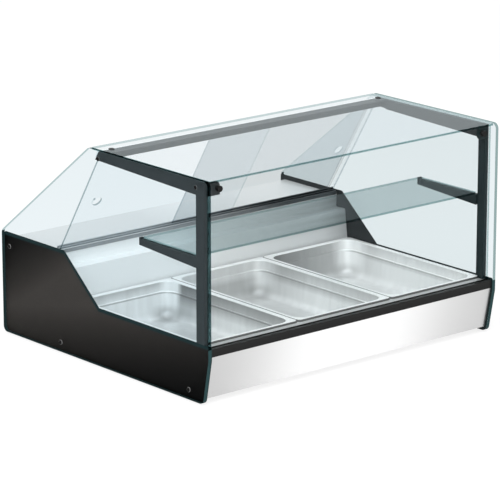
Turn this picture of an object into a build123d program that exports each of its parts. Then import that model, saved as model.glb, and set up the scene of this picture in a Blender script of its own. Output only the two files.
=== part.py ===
"""Heated counter display case for three full-size catering pans, in millimetres.

The origin lies on the counter, under the middle of the case. X runs to the right as the customer
sees it, Y runs from the customer's side to the operator's side and Z points up.
"""

import os
from math import hypot, sqrt

from build123d import *

# Pans of the full catering size
pan_count = 3
pan_width = 325.0
pan_length = 530.0
pan_depth = 100.0
pan_flange = 12.0
pan_lip = 4.0
pan_sheet = 1.0
pan_corner = 25.0
pan_mouth_corner = 38.0
pan_draft = 3.0
pan_floor_bevel = 10.0
shoulder_drop = 28.0
shoulder_step = 4.0
pan_gap = 1.0
pan_side_gap = 2.0
pan_rear_gap = 8.0
pan_body_clearance = 2.0

# Glass
side_glass_thickness = 10.0
flat_glass_thickness = 6.0
door_glass_thickness = 5.0
glass_lift = 3.0
glass_corner = 16.0
shelf_corner = 8.0
glass_gap = 1.0
toe_depth = 22.0
toe_drop = 7.0
top_length = 485.0
chamber_height = 435.0

# Sheet metal of the base
sheet = 1.5
plate_thickness = 2.0
plate_inset = 0.5
plate_corner = 4.0
plate_rise_front = 7.0
plate_rise_rear = 13.0
glass_rise_rear = 6.0
slope_head_setback = 21.0
slope_run = 148.0
foot_height = 17.0
insulation_thickness = 10.5
well_space = 19.5
tray_flange = 43.0
front_ledge = 45.0
wall_lean = 10.0
wall_rise = 83.0
step_depth = 37.0
step_rise = 36.0
wall_foot = 17.0
rear_deck_depth = 220.0
rear_margin = 22.0
deck_flange = 14.0
rear_flange = 18.0
well_side_gap = 6.5
well_end_gap = 8.5

# Front rail and panel
rail_setback = 3.0
rail_depth = 21.0
rail_height = 21.0
rail_rise = 1.0
rail_wall = 2.5
groove_depth = 9.0
groove_clearance = 0.3
front_glass_setback = 15.0
top_glass_setback = 6.0
panel_setback = 4.0
panel_return = 24.0

# Black frame bars
bar_thickness = 12.0
rear_rail_thickness = 8.0
bar_web = 6.0
rib_width = 20.0
post_gap = 6.0
post_width = 32.0
tongue_width = 16.0
tongue_setback = 2.0
tongue_length = 50.0
arm_height_post = 38.0
arm_height_rear = 24.0
rail_inset = 31.0
arm_tail = 14.0
rear_rail_flange = 34.0
rear_rail_flange_thickness = 4.0
shelf_height = 231.0
shelf_depth = 222.0
shelf_bearing = 5.0
shelf_lip = 5.0
shelf_lip_rise = 4.0
shelf_arm_post = 29.0
shelf_arm_tip = 16.0
bracket_thickness = 4.0
bracket_reach = 34.5
bracket_height = 36.0
bracket_drop = 1.0
bracket_flange = 30.0
bracket_round = 14.0
knob_inset = 12.0
knob_drop = 17.0

# Doors and their tracks
door_foot_setback = 5.0
door_foot_rise = 15.0
door_head_setback = 8.0
door_head_drop = 14.0
door_spacing = 2.0
door_overlap = 202.0
door_end_gap = 1.0
door_clearance = 0.3
door_corner = 6.0
track_wall = 2.7
lower_groove = 8.0
upper_groove = 9.0
upper_grip = 6.5
upper_track_height = 18.0
finger_hole = 28.0
finger_hole_inset = 58.0

# Clamp knobs and feet
clamp_radius = 8.0
clamp_length = 10.0
clamp_nut_radius = 6.0
clamp_nut_thickness = 4.0
stud_radius = 3.0
stud_clearance = 0.3
foot_radius = 18.0
foot_inset = 62.0
foot_front = 110.0
foot_rear = 70.0

# Heating
mat_thickness = 3.0
mat_margin = 14.0
mat_tab_width = 40.0
mat_tab_length = 22.0
probe_radius = 3.0
probe_length = 120.0
probe_tail = 20.0
seat_clearance = 0.3
cutout_size = (40.0, 20.0, 30.0)
cutout_inset = 390.5
cutout_rise = 40.0

# Controls on the operator's side
control_inset = 160.5
control_z = 172.0
control_width = 230.0
control_height = 84.0
control_thickness = 2.0
dial_offset = -62.0
switch_offset = 32.0
lamp_offset = 84.0
thermostat_size = (56.0, 40.0, 50.0)
shaft_radius = 3.0
shaft_clearance = 0.05
shaft_reach = 14.0
knob_radius = 22.0
knob_height = 17.0
knob_gap = 0.8
knob_grip_width = 11.0
knob_grip_reach = 19.0
knob_grip_height = 8.0
switch_width = 22.0
switch_height = 30.0
switch_depth = 20.0
switch_wall = 1.6
bezel_margin = 3.0
bezel_height = 2.0
rocker_clearance = 0.6
rocker_proud = 3.0
rocker_dish = 1.6
rocker_fill = 0.9
rocker_thickness = 6.0
pivot_radius = 1.5
lamp_radius = 7.0
lamp_height = 5.0
lamp_body_radius = 5.0
lamp_body_length = 20.0
cut_clearance = 0.3
gland_inset = 90.5
gland_z = 62.0
gland_radius = 12.0
gland_length = 16.0
gland_hex_length = 7.0
gland_cap_radius = 9.8
gland_thread_radius = 8.0
gland_bore_radius = 4.5
gland_nut_thickness = 5.0
terminal_size = (84.0, 30.0, 26.0)
terminal_inset = 130.5
terminal_setback = 60.0
terminal_ways = 5
terminal_slot = 8.0
vent_count = 9
vent_pitch = 24.0
vent_width = 6.0
vent_height = 40.0
vent_inset = 370.5
vent_z = 110.0

# Widths, from the middle of the case outwards
pans_half_width = (pan_count * pan_width + (pan_count - 1) * pan_gap) / 2
plate_inner = pans_half_width + pan_side_gap
glass_inner = plate_inner + plate_thickness
glass_outer = glass_inner + side_glass_thickness
bar_inner = glass_inner - bar_thickness
web_inner = glass_inner - bar_web
cutout_x = cutout_inset - plate_inner
control_x = control_inset - plate_inner
gland_x = plate_inner - gland_inset
terminal_x = plate_inner - terminal_inset
vent_x = plate_inner - vent_inset

# Depths, from the front edge of the side glass to the operator's side
base_depth = front_ledge + pan_length + pan_rear_gap + wall_lean
case_depth = base_depth + step_depth + rear_deck_depth + rear_margin
front = -case_depth / 2
rear = case_depth / 2
pan_front = front + front_ledge
pan_rear = pan_front + pan_length
pan_middle = pan_front + pan_length / 2
wall_foot_y = pan_rear + pan_rear_gap
wall_step_y = wall_foot_y + wall_lean
wall_top_y = wall_step_y + step_depth
rear_panel_y = wall_top_y + rear_deck_depth
rail_front = front + rail_setback
rail_rear = rail_front + rail_depth
front_glass_y = front + front_glass_setback
post_front = front_glass_y + flat_glass_thickness + post_gap
post_rear = post_front + post_width
rib_rear = post_front + rib_width
top_rail_rear = front + top_length - rail_inset
top_rail_front = top_rail_rear - rear_rail_thickness
flange_front = top_rail_rear - rear_rail_flange

# Heights, from the counter upwards
tray_top = foot_height + sheet
well_floor = tray_top + insulation_thickness + mat_thickness + sheet
pan_bottom = well_floor + well_space
rim_z = pan_bottom + pan_depth
deck_top = rim_z - pan_lip
deck_bottom = deck_top - sheet
rail_top = deck_top + rail_rise
panel_top = rail_top - rail_height
toe_z = panel_top - toe_drop
plate_low = deck_top + plate_rise_front
wall_step_z = deck_top + wall_rise
rear_deck_z = wall_step_z + step_rise
plate_high = rear_deck_z + plate_rise_rear
glass_rear_z = plate_high + glass_rise_rear
glass_top = deck_top + chamber_height
top_glass_bottom = glass_top - flat_glass_thickness
shelf_z = deck_top + shelf_height

# The door plane leans from its foot on the rear deck to its head behind the rear top rail
door_foot = (wall_top_y + door_foot_setback, rear_deck_z + door_foot_rise)
door_head = (top_rail_rear + door_head_setback, top_glass_bottom - door_head_drop)
door_slant = hypot(door_head[0] - door_foot[0], door_head[1] - door_foot[1])
slope_y = (door_head[0] - door_foot[0]) / door_slant
slope_z = (door_head[1] - door_foot[1]) / door_slant


def on_slope(along, outward):
    """Point of the YZ plane at a distance up the door plane and outward from it."""
    return (
        door_foot[0] + along * slope_y + outward * slope_z,
        door_foot[1] + along * slope_z - outward * slope_y,
    )


def side_plane(sign, inner, thickness):
    """YZ plane from which a plate of one side is extruded towards +X."""
    start = inner if sign > 0 else -inner - thickness
    return Plane.YZ.offset(start)


def save(piece, name):
    """Label a finished piece and write its own STEP file."""
    piece.part.label = name
    export_step(piece.part, f"parts/{name}.step")


os.makedirs("parts", exist_ok=True)
sides = (("left", -1), ("right", 1))

glass_toe = front + toe_depth

# Side glass
for side, sign in sides:
    with BuildPart() as side_glass:
        with BuildSketch(side_plane(sign, glass_inner, side_glass_thickness)) as outline:
            with BuildLine():
                Polyline(
                    (glass_toe, glass_lift),
                    (rear, glass_lift),
                    (rear, glass_rear_z),
                    (front + top_length, glass_top),
                    (front, glass_top),
                    (front, toe_z),
                    close=True,
                )
            make_face()
            fillet(outline.vertices(), radius=glass_corner)
        extrude(amount=side_glass_thickness)
    save(side_glass, f"{side}_side_glass")

# End plates behind the lower part of the side glass
plate_toe = glass_toe + plate_inset
for side, sign in sides:
    with BuildPart() as end_plate:
        with BuildSketch(side_plane(sign, plate_inner, plate_thickness)) as outline:
            with BuildLine():
                Polyline(
                    (plate_toe, glass_lift + plate_inset),
                    (rear - plate_inset, glass_lift + plate_inset),
                    (rear - plate_inset, plate_high),
                    (wall_top_y - slope_head_setback, plate_high),
                    (wall_top_y - slope_head_setback - slope_run, plate_low),
                    (front + plate_inset, plate_low),
                    (front + plate_inset, toe_z),
                    close=True,
                )
            make_face()
            fillet(outline.vertices().sort_by(Axis.Y)[:3], radius=glass_corner - plate_inset)
            fillet(outline.vertices().sort_by(Axis.Y)[-4:], radius=plate_corner)
        extrude(amount=plate_thickness)
    save(end_plate, f"{side}_end_plate")

# Base tray, a shallow channel between the end plates
tray_front = glass_toe + panel_setback + sheet * 2
tray_rear = rear_panel_y - sheet
with BuildPart() as base_tray:
    with BuildSketch(Plane.XZ.offset(-tray_rear)):
        with BuildLine():
            Polyline(
                (-plate_inner, foot_height + tray_flange),
                (-plate_inner, foot_height),
                (plate_inner, foot_height),
                (plate_inner, foot_height + tray_flange),
            )
            offset(amount=sheet, side=Side.LEFT, kind=Kind.INTERSECTION)
        make_face()
    extrude(amount=tray_rear - tray_front)
save(base_tray, "base_tray")

# Rubber feet under the tray
foot_y_front = front + foot_front
foot_y_rear = rear_panel_y - foot_rear
with BuildPart() as feet:
    with Locations(
        *[(x, y, 0) for x in (-plate_inner + foot_inset, plate_inner - foot_inset)
          for y in (foot_y_front, foot_y_rear)]
    ):
        Cylinder(foot_radius, foot_height, align=(Align.CENTER, Align.CENTER, Align.MIN))
save(feet, "feet")

# Front panel, a folded sheet that leans back towards its foot
with BuildPart() as front_panel:
    with BuildSketch(Plane.YZ.offset(-plate_inner)):
        with BuildLine():
            Polyline(
                (rail_rear, panel_top),
                (front + panel_setback, panel_top),
                (glass_toe + panel_setback, foot_height - sheet),
                (glass_toe + panel_setback + panel_return, foot_height - sheet),
            )
            offset(amount=sheet, side=Side.LEFT)
        make_face()
    extrude(amount=2 * plate_inner)
save(front_panel, "front_panel")

# Front rail, a hollow bar with a groove for the front glass
groove_front = front_glass_y - groove_clearance
groove_rear = front_glass_y + flat_glass_thickness + groove_clearance
with BuildPart() as front_rail:
    with BuildSketch(Plane.YZ.offset(-plate_inner)):
        with BuildLine():
            Polyline(
                (rail_front, panel_top),
                (rail_rear, panel_top),
                (rail_rear, rail_top),
                (groove_rear, rail_top),
                (groove_rear, rail_top - groove_depth),
                (groove_front, rail_top - groove_depth),
                (groove_front, rail_top),
                (rail_front, rail_top),
                close=True,
            )
        make_face()
        with BuildLine():
            Polyline(
                (rail_front + rail_wall, panel_top + rail_wall),
                (rail_rear - rail_wall, panel_top + rail_wall),
                (rail_rear - rail_wall, rail_top - groove_depth - rail_wall),
                (rail_front + rail_wall, rail_top - groove_depth - rail_wall),
                close=True,
            )
        make_face(mode=Mode.SUBTRACT)
    extrude(amount=2 * plate_inner)
save(front_rail, "front_rail")

# Pan deck, a folded sheet with one opening for each pan and notches for the posts
pan_pitch = pan_width + pan_gap
pan_xs = [(i - (pan_count - 1) / 2) * pan_pitch for i in range(pan_count)]
pan_body_width = pan_width - 2 * pan_flange
pan_body_length = pan_length - 2 * pan_flange
deck_rear = wall_foot_y + wall_foot + sheet
tongue_front = rail_rear + tongue_setback
with BuildPart() as pan_deck:
    with BuildSketch(Plane.YZ.offset(-plate_inner)):
        with BuildLine():
            Polyline(
                (rail_rear, deck_top - deck_flange),
                (rail_rear, deck_top),
                (deck_rear, deck_top),
                (deck_rear, deck_top - deck_flange),
            )
            offset(amount=sheet, side=Side.RIGHT, kind=Kind.INTERSECTION)
        make_face()
    extrude(amount=2 * plate_inner)
    with BuildSketch(Plane.XY.offset(deck_top)):
        with Locations(*[(x, pan_middle) for x in pan_xs]):
            RectangleRounded(
                pan_body_width + 2 * pan_body_clearance,
                pan_body_length + 2 * pan_body_clearance,
                pan_corner,
            )
        with Locations(*[(sign * plate_inner, tongue_front + tongue_width / 2) for side, sign in sides]):
            Rectangle(2 * (plate_inner - web_inner) + glass_gap, tongue_width + glass_gap)
    extrude(amount=-sheet, mode=Mode.SUBTRACT)
save(pan_deck, "pan_deck")

# Heated well, an open tub that hangs from the deck; its rear wall lets the probe through
well_half = plate_inner - well_side_gap
well_front = pan_front + well_end_gap - pan_flange / 2
well_rear = pan_rear + pan_rear_gap - well_end_gap
probe_z = well_floor + probe_radius + seat_clearance
with BuildPart() as well_tank:
    with BuildSketch(Plane.XY.offset(well_floor - sheet)):
        with Locations((0, (well_front + well_rear) / 2)):
            Rectangle(2 * well_half, well_rear - well_front)
    extrude(amount=deck_bottom - well_floor + sheet)
    with BuildSketch(Plane.XY.offset(well_floor)):
        with Locations((0, (well_front + well_rear) / 2)):
            Rectangle(2 * (well_half - sheet), well_rear - well_front - 2 * sheet)
    extrude(amount=deck_bottom - well_floor, mode=Mode.SUBTRACT)
    with BuildSketch(Plane.XZ.offset(-well_rear)):
        with Locations((0, probe_z)):
            Circle(probe_radius + seat_clearance)
    extrude(amount=sheet, mode=Mode.SUBTRACT)
save(well_tank, "well_tank")

# Insulation board on the tray
with BuildPart() as insulation:
    with BuildSketch(Plane.XY.offset(tray_top)):
        with Locations((0, (well_front + well_rear) / 2)):
            Rectangle(2 * well_half, well_rear - well_front)
    extrude(amount=insulation_thickness)
save(insulation, "well_insulation")

# Heating mats between the insulation and the well, one under each pan, each with a tab for its leads
mat_names = ("left_heating_mat", "middle_heating_mat", "right_heating_mat")
mat_width = pan_pitch - 2 * mat_margin
mat_length = well_rear - well_front - 2 * mat_margin - mat_tab_length
mat_front = well_front + mat_margin
for name, x in zip(mat_names, pan_xs):
    with BuildPart() as mat:
        with BuildSketch(Plane.XY.offset(tray_top + insulation_thickness)):
            with Locations((x, mat_front)):
                Rectangle(mat_width, mat_length, align=(Align.CENTER, Align.MIN))
                Rectangle(mat_tab_width, mat_length + mat_tab_length, align=(Align.CENTER, Align.MIN))
        extrude(amount=mat_thickness)
    save(mat, name)

# Temperature probe on the well floor
with BuildPart() as probe:
    with BuildSketch(Plane((0, well_rear + probe_tail, probe_z), z_dir=(0, -1, 0))):
        Circle(probe_radius)
    extrude(amount=probe_length + probe_tail)
save(probe, "sensor_probe")

# Safety cut-out on the outside of the well
with BuildPart() as cutout:
    with Locations((cutout_x, well_rear, well_floor + cutout_rise)):
        Box(*cutout_size, align=(Align.CENTER, Align.MIN, Align.MIN))
save(cutout, "safety_cutout")

# Stepped back wall, one folded sheet
with BuildPart() as back_wall:
    with BuildSketch(Plane.YZ.offset(-plate_inner)):
        with BuildLine():
            Polyline(
                (wall_foot_y + wall_foot, deck_top),
                (wall_foot_y, deck_top),
                (wall_step_y, wall_step_z),
                (wall_top_y, wall_step_z),
                (wall_top_y, rear_deck_z - sheet),
                (wall_top_y + wall_foot, rear_deck_z - sheet),
            )
            offset(amount=sheet, side=Side.RIGHT)
        make_face()
    extrude(amount=2 * plate_inner)
save(back_wall, "back_wall")

# Rear deck with its down-turned edge
with BuildPart() as rear_deck:
    with BuildSketch(Plane.YZ.offset(-plate_inner)):
        with BuildLine():
            Polyline(
                (wall_top_y, rear_deck_z),
                (rear_panel_y + sheet, rear_deck_z),
                (rear_panel_y + sheet, rear_deck_z - rear_flange),
            )
            offset(amount=sheet, side=Side.RIGHT)
        make_face()
    extrude(amount=2 * plate_inner)
save(rear_deck, "rear_deck")

# Rear panel with its vents and the holes for the controls and the gland
rear_panel_top = rear_deck_z - sheet
rear_panel_middle = (foot_height + rear_panel_top) / 2
dial_x = control_x + dial_offset
switch_x = control_x + switch_offset
lamp_x = control_x + lamp_offset
switch_cut = (switch_width + 2 * cut_clearance, switch_height + 2 * cut_clearance)
outer_panel = Plane((0, rear_panel_y, 0), x_dir=(1, 0, 0), z_dir=(0, -1, 0))
with BuildPart() as rear_panel:
    with BuildSketch(outer_panel):
        with Locations((0, rear_panel_middle)):
            Rectangle(2 * plate_inner, rear_panel_top - foot_height)
        with Locations((dial_x, control_z)):
            Circle(shaft_radius + cut_clearance, mode=Mode.SUBTRACT)
        with Locations((switch_x, control_z)):
            Rectangle(*switch_cut, mode=Mode.SUBTRACT)
        with Locations((lamp_x, control_z)):
            Circle(lamp_body_radius + cut_clearance, mode=Mode.SUBTRACT)
        with Locations((gland_x, gland_z)):
            Circle(gland_thread_radius + cut_clearance, mode=Mode.SUBTRACT)
        with Locations((vent_x, vent_z)):
            with GridLocations(vent_pitch, 0, vent_count, 1):
                Rectangle(vent_width, vent_height, mode=Mode.SUBTRACT)
    extrude(amount=sheet)
save(rear_panel, "rear_panel")

# Control plate on the rear panel
control_face = Plane((0, rear_panel_y + control_thickness, 0), x_dir=(1, 0, 0), z_dir=(0, -1, 0))
control_y = rear_panel_y + control_thickness
with BuildPart() as control_plate:
    with BuildSketch(control_face):
        with Locations((control_x, control_z)):
            Rectangle(control_width, control_height)
        with Locations((dial_x, control_z)):
            Circle(shaft_radius + cut_clearance, mode=Mode.SUBTRACT)
        with Locations((switch_x, control_z)):
            Rectangle(*switch_cut, mode=Mode.SUBTRACT)
        with Locations((lamp_x, control_z)):
            Circle(lamp_body_radius + cut_clearance, mode=Mode.SUBTRACT)
    extrude(amount=control_thickness)
save(control_plate, "control_plate")

# Thermostat with its shaft through the panel
with BuildPart() as thermostat:
    with Locations((dial_x, rear_panel_y - sheet, control_z)):
        Box(*thermostat_size, align=(Align.CENTER, Align.MAX, Align.CENTER))
    with BuildSketch(Plane((dial_x, rear_panel_y - sheet, control_z), z_dir=(0, 1, 0))):
        Circle(shaft_radius)
    extrude(amount=sheet + control_thickness + knob_gap + shaft_reach)
save(thermostat, "thermostat_body")

# Thermostat knob, a tapered skirt with a raised grip bar
with BuildPart() as knob:
    knob_face = Plane((dial_x, control_y + knob_gap, control_z), x_dir=(-1, 0, 0), z_dir=(0, 1, 0))
    with BuildSketch(knob_face):
        Circle(knob_radius)
    extrude(amount=knob_height - knob_grip_height)
    with BuildSketch(knob_face.offset(knob_height - knob_grip_height)):
        SlotOverall(2 * knob_grip_reach, knob_grip_width, rotation=90)
    extrude(amount=knob_grip_height)
    with BuildSketch(knob_face):
        Circle(shaft_radius + shaft_clearance)
    extrude(amount=shaft_reach + cut_clearance, mode=Mode.SUBTRACT)
save(knob, "thermostat_knob")

# Switch housing, a bezel with an open box behind it
bezel_y = control_y + bezel_height
rocker_half = (switch_height / 2 - switch_wall - rocker_clearance) * rocker_fill
pivot_y = control_y - rocker_thickness / 2
with BuildPart() as switch_housing:
    bezel_face = Plane((switch_x, bezel_y, control_z), x_dir=(1, 0, 0), z_dir=(0, -1, 0))
    with BuildSketch(bezel_face):
        RectangleRounded(switch_width + 2 * bezel_margin, switch_height + 2 * bezel_margin, bezel_margin)
    extrude(amount=bezel_height)
    with BuildSketch(bezel_face.offset(bezel_height)):
        Rectangle(switch_width, switch_height)
    extrude(amount=switch_depth)
    with BuildSketch(bezel_face):
        Rectangle(switch_width - 2 * switch_wall, switch_height - 2 * switch_wall)
    extrude(amount=bezel_height + switch_depth - switch_wall, mode=Mode.SUBTRACT)
    with BuildSketch(Plane((switch_x, pivot_y, control_z), x_dir=(0, 1, 0), z_dir=(1, 0, 0))):
        Circle(pivot_radius + shaft_clearance)
    extrude(amount=switch_width / 2 - switch_wall / 2, both=True, mode=Mode.SUBTRACT)
save(switch_housing, "switch_housing")

# Switch rocker, dished in front, round at its ends and hung on its own pivot pins
rocker_width = switch_width - 2 * switch_wall - 2 * rocker_clearance
rocker_front = bezel_y + rocker_proud
rocker_back = pivot_y - rocker_thickness / 2
with BuildPart() as rocker:
    with BuildSketch(Plane((switch_x, 0, control_z), x_dir=(0, 1, 0), z_dir=(1, 0, 0))):
        with BuildLine():
            Polyline(
                (rocker_front, rocker_half),
                (rocker_back, rocker_half),
                (rocker_back, -rocker_half),
                (rocker_front, -rocker_half),
            )
            ThreePointArc(
                (rocker_front, -rocker_half),
                (rocker_front - rocker_dish, 0),
                (rocker_front, rocker_half),
            )
        make_face()
    extrude(amount=rocker_width / 2, both=True)
    with BuildSketch(Plane((switch_x, pivot_y, control_z), x_dir=(0, 1, 0), z_dir=(1, 0, 0))):
        Circle(pivot_radius)
    extrude(amount=switch_width / 2 - switch_wall / 2 - shaft_clearance, both=True)
save(rocker, "switch_rocker")

# Pilot lamp
with BuildPart() as lamp:
    lamp_face = Plane((lamp_x, control_y, control_z), z_dir=(0, 1, 0))
    with BuildSketch(lamp_face):
        Circle(lamp_radius)
    extrude(amount=lamp_height)
    with BuildSketch(Plane((lamp_x, control_y, control_z), z_dir=(0, -1, 0))):
        Circle(lamp_body_radius)
    extrude(amount=lamp_body_length)
save(lamp, "pilot_lamp")

# Cable gland with its lock nut inside the panel
with BuildPart() as gland:
    gland_face = Plane((gland_x, rear_panel_y, gland_z), z_dir=(0, 1, 0))
    with BuildSketch(gland_face):
        RegularPolygon(gland_radius, 6)
    extrude(amount=gland_hex_length)
    with BuildSketch(gland_face.offset(gland_hex_length)):
        Circle(gland_cap_radius)
    extrude(amount=gland_length - gland_hex_length)
    with BuildSketch(Plane((gland_x, rear_panel_y, gland_z), z_dir=(0, -1, 0))):
        Circle(gland_thread_radius)
    extrude(amount=sheet + gland_nut_thickness)
    with BuildSketch(Plane((gland_x, rear_panel_y - sheet, gland_z), z_dir=(0, -1, 0))):
        RegularPolygon(gland_radius, 6)
    extrude(amount=gland_nut_thickness)
    with BuildSketch(gland_face.offset(gland_length)):
        Circle(gland_bore_radius)
    extrude(amount=-gland_length - sheet - gland_nut_thickness, mode=Mode.SUBTRACT)
save(gland, "cable_gland")

# Terminal block on the tray
terminal_y = rear_panel_y - terminal_setback
with BuildPart() as terminal:
    with Locations((terminal_x, terminal_y, tray_top)):
        Box(*terminal_size, align=(Align.CENTER, Align.CENTER, Align.MIN))
    with BuildSketch(Plane((terminal_x, terminal_y, tray_top + terminal_size[2]))):
        with GridLocations(terminal_size[0] / terminal_ways, 0, terminal_ways, 1):
            Rectangle(terminal_slot, terminal_size[1] / 2)
    extrude(amount=-terminal_size[2] / 2, mode=Mode.SUBTRACT)
save(terminal, "terminal_block")

# Posts that stand on the rail and the end plates, with a rib in front and a tongue behind the rail
tongue_bottom = rail_top - tongue_length
bracket_top = top_glass_bottom - bracket_drop
knob_x = bar_inner - bracket_reach + knob_inset
knob_z = bracket_top - knob_drop
for side, sign in sides:
    with BuildPart() as post:
        with BuildSketch(side_plane(sign, web_inner, bar_web)):
            with Locations((post_front, plate_low)):
                Rectangle(post_width, top_glass_bottom - plate_low, align=(Align.MIN, Align.MIN))
        extrude(amount=bar_web)
        with BuildSketch(side_plane(sign, bar_inner, bar_thickness - bar_web)):
            with Locations((post_front, rail_top)):
                Rectangle(rib_width, top_glass_bottom - rail_top, align=(Align.MIN, Align.MIN))
        extrude(amount=bar_thickness - bar_web)
        with BuildSketch(side_plane(sign, web_inner, plate_inner - web_inner)):
            with Locations((post_front, rail_top)):
                Rectangle(post_width, plate_low - rail_top, align=(Align.MIN, Align.MIN))
            with Locations((tongue_front, tongue_bottom)):
                Rectangle(tongue_width, tongue_length, align=(Align.MIN, Align.MIN))
        extrude(amount=plate_inner - web_inner)
    save(post, f"{side}_post")

# Top arms, tapered bars from the posts, each with a thinner end beside the rear top rail
arm_rear = top_rail_rear + arm_tail
arm_taper = (arm_height_post - arm_height_rear) / (arm_rear - post_rear)
arm_height_flange = arm_height_post - arm_taper * (flange_front - post_rear)
for side, sign in sides:
    with BuildPart() as top_arm:
        with BuildSketch(side_plane(sign, web_inner, bar_web)):
            with BuildLine():
                Polyline(
                    (post_rear, top_glass_bottom - arm_height_post),
                    (arm_rear, top_glass_bottom - arm_height_rear),
                    (top_rail_rear - glass_gap, top_glass_bottom),
                    (post_rear, top_glass_bottom),
                    close=True,
                )
            make_face()
        extrude(amount=bar_web)
        with BuildSketch(side_plane(sign, bar_inner, bar_thickness - bar_web)):
            with BuildLine():
                Polyline(
                    (rib_rear, top_glass_bottom - arm_height_post),
                    (post_rear, top_glass_bottom - arm_height_post),
                    (flange_front, top_glass_bottom - arm_height_flange),
                    (flange_front, top_glass_bottom),
                    (rib_rear, top_glass_bottom),
                    close=True,
                )
            make_face()
        extrude(amount=bar_thickness - bar_web)
    save(top_arm, f"{side}_top_arm")

# Shelf arms, tapered brackets from the posts with a lip behind the glass
shelf_front = post_rear + glass_gap
shelf_rear = shelf_front + shelf_depth
lip_front = shelf_rear + glass_gap
shelf_arm_end = lip_front + shelf_lip
for side, sign in sides:
    with BuildPart() as shelf_arm:
        with BuildSketch(side_plane(sign, bar_inner, bar_thickness)):
            with BuildLine():
                Polyline(
                    (post_rear, shelf_z - shelf_arm_post),
                    (shelf_arm_end, shelf_z - shelf_arm_tip),
                    (shelf_arm_end, shelf_z + shelf_lip_rise),
                    (lip_front, shelf_z + shelf_lip_rise),
                    (lip_front, shelf_z),
                    (post_rear, shelf_z),
                    close=True,
                )
            make_face()
        extrude(amount=bar_thickness)
    save(shelf_arm, f"{side}_shelf_arm")

# Glass shelf on the two arms
with BuildPart() as shelf:
    with BuildSketch(Plane.XY.offset(shelf_z)):
        with Locations((0, (shelf_front + shelf_rear) / 2)):
            RectangleRounded(2 * (bar_inner + shelf_bearing), shelf_depth, shelf_corner)
    extrude(amount=flat_glass_thickness)
save(shelf, "shelf_glass")

# Rear top rail, an angle whose flange carries the top glass
with BuildPart() as rear_rail:
    with BuildSketch(Plane.YZ.offset(-web_inner)):
        with BuildLine():
            Polyline(
                (top_rail_front, top_glass_bottom - arm_height_rear),
                (top_rail_rear, top_glass_bottom - arm_height_rear),
                (top_rail_rear, top_glass_bottom),
                (flange_front, top_glass_bottom),
                (flange_front, top_glass_bottom - rear_rail_flange_thickness),
                (top_rail_front, top_glass_bottom - rear_rail_flange_thickness),
                close=True,
            )
        make_face()
    extrude(amount=2 * web_inner)
save(rear_rail, "rear_top_rail")

# Top glass between the side panes
top_glass_front = front + top_glass_setback
with BuildPart() as top_glass:
    with BuildSketch(Plane.XY.offset(top_glass_bottom)):
        with Locations((0, (top_glass_front + front + top_length) / 2)):
            RectangleRounded(
                2 * (glass_inner - glass_gap), front + top_length - top_glass_front, door_corner
            )
    extrude(amount=flat_glass_thickness)
save(top_glass, "top_glass")

# Front glass, standing in the groove of the front rail
front_glass_bottom = rail_top - groove_depth
front_glass_top = top_glass_bottom - glass_gap / 2
knob_places = [(sign * knob_x, knob_z) for side, sign in sides]
front_glass_plane = Plane((0, front_glass_y + flat_glass_thickness, 0), x_dir=(1, 0, 0), z_dir=(0, -1, 0))
with BuildPart() as front_glass:
    with BuildSketch(front_glass_plane):
        with Locations((0, front_glass_bottom)):
            Rectangle(
                2 * (plate_inner - 2 * glass_gap),
                front_glass_top - front_glass_bottom,
                align=(Align.CENTER, Align.MIN),
            )
        with Locations(*knob_places):
            Circle(stud_radius + stud_clearance, mode=Mode.SUBTRACT)
    extrude(amount=flat_glass_thickness)
save(front_glass, "front_glass")

# Brackets behind the front glass, angles with a rounded tip
bracket_y = front_glass_y + flat_glass_thickness
bracket_plane = Plane((0, bracket_y + bracket_thickness, 0), x_dir=(1, 0, 0), z_dir=(0, -1, 0))
for side, sign in sides:
    tip_x = sign * (bar_inner - bracket_reach)
    root_x = sign * bar_inner
    with BuildPart() as bracket:
        with BuildSketch(bracket_plane) as tab:
            with BuildLine():
                Polyline(
                    (root_x, bracket_top),
                    (tip_x, bracket_top),
                    (tip_x, bracket_top - bracket_height),
                    (root_x, bracket_top - bracket_height),
                    close=True,
                )
            make_face()
            inner_corner = tab.vertices().group_by(Axis.Z)[0].sort_by(Axis.X)[0 if sign > 0 else -1]
            fillet(inner_corner, radius=bracket_round)
            with Locations((sign * knob_x, knob_z)):
                Circle(stud_radius + stud_clearance, mode=Mode.SUBTRACT)
        extrude(amount=bracket_thickness)
        with BuildSketch(side_plane(sign, bar_inner - bracket_thickness, bracket_thickness)):
            with Locations((bracket_y, bracket_top - bracket_height)):
                Rectangle(bracket_flange, bracket_height, align=(Align.MIN, Align.MIN))
        extrude(amount=bracket_thickness)
    save(bracket, f"{side}_glass_bracket")

# Round clamp knobs of the front glass, each with its stud and nut
with BuildPart() as clamp_knobs:
    for x, z in knob_places:
        with BuildSketch(Plane((x, front_glass_y, z), z_dir=(0, -1, 0))):
            Circle(clamp_radius)
        extrude(amount=clamp_length)
        with BuildSketch(Plane((x, front_glass_y, z), z_dir=(0, 1, 0))):
            Circle(stud_radius)
        extrude(amount=flat_glass_thickness + bracket_thickness)
        with BuildSketch(Plane((x, bracket_y + bracket_thickness, z), z_dir=(0, 1, 0))):
            RegularPolygon(clamp_nut_radius, 6)
        extrude(amount=clamp_nut_thickness)
save(clamp_knobs, "glass_clamp_knobs")

# Door tracks: two parallel grooves at each end of the door plane
track_half = web_inner
groove_half = door_glass_thickness + door_spacing / 2 + door_clearance
groove_near = door_spacing / 2 - door_clearance
track_side = groove_half + track_wall
grooves = ((-groove_half, -groove_near), (groove_near, groove_half))

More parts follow.
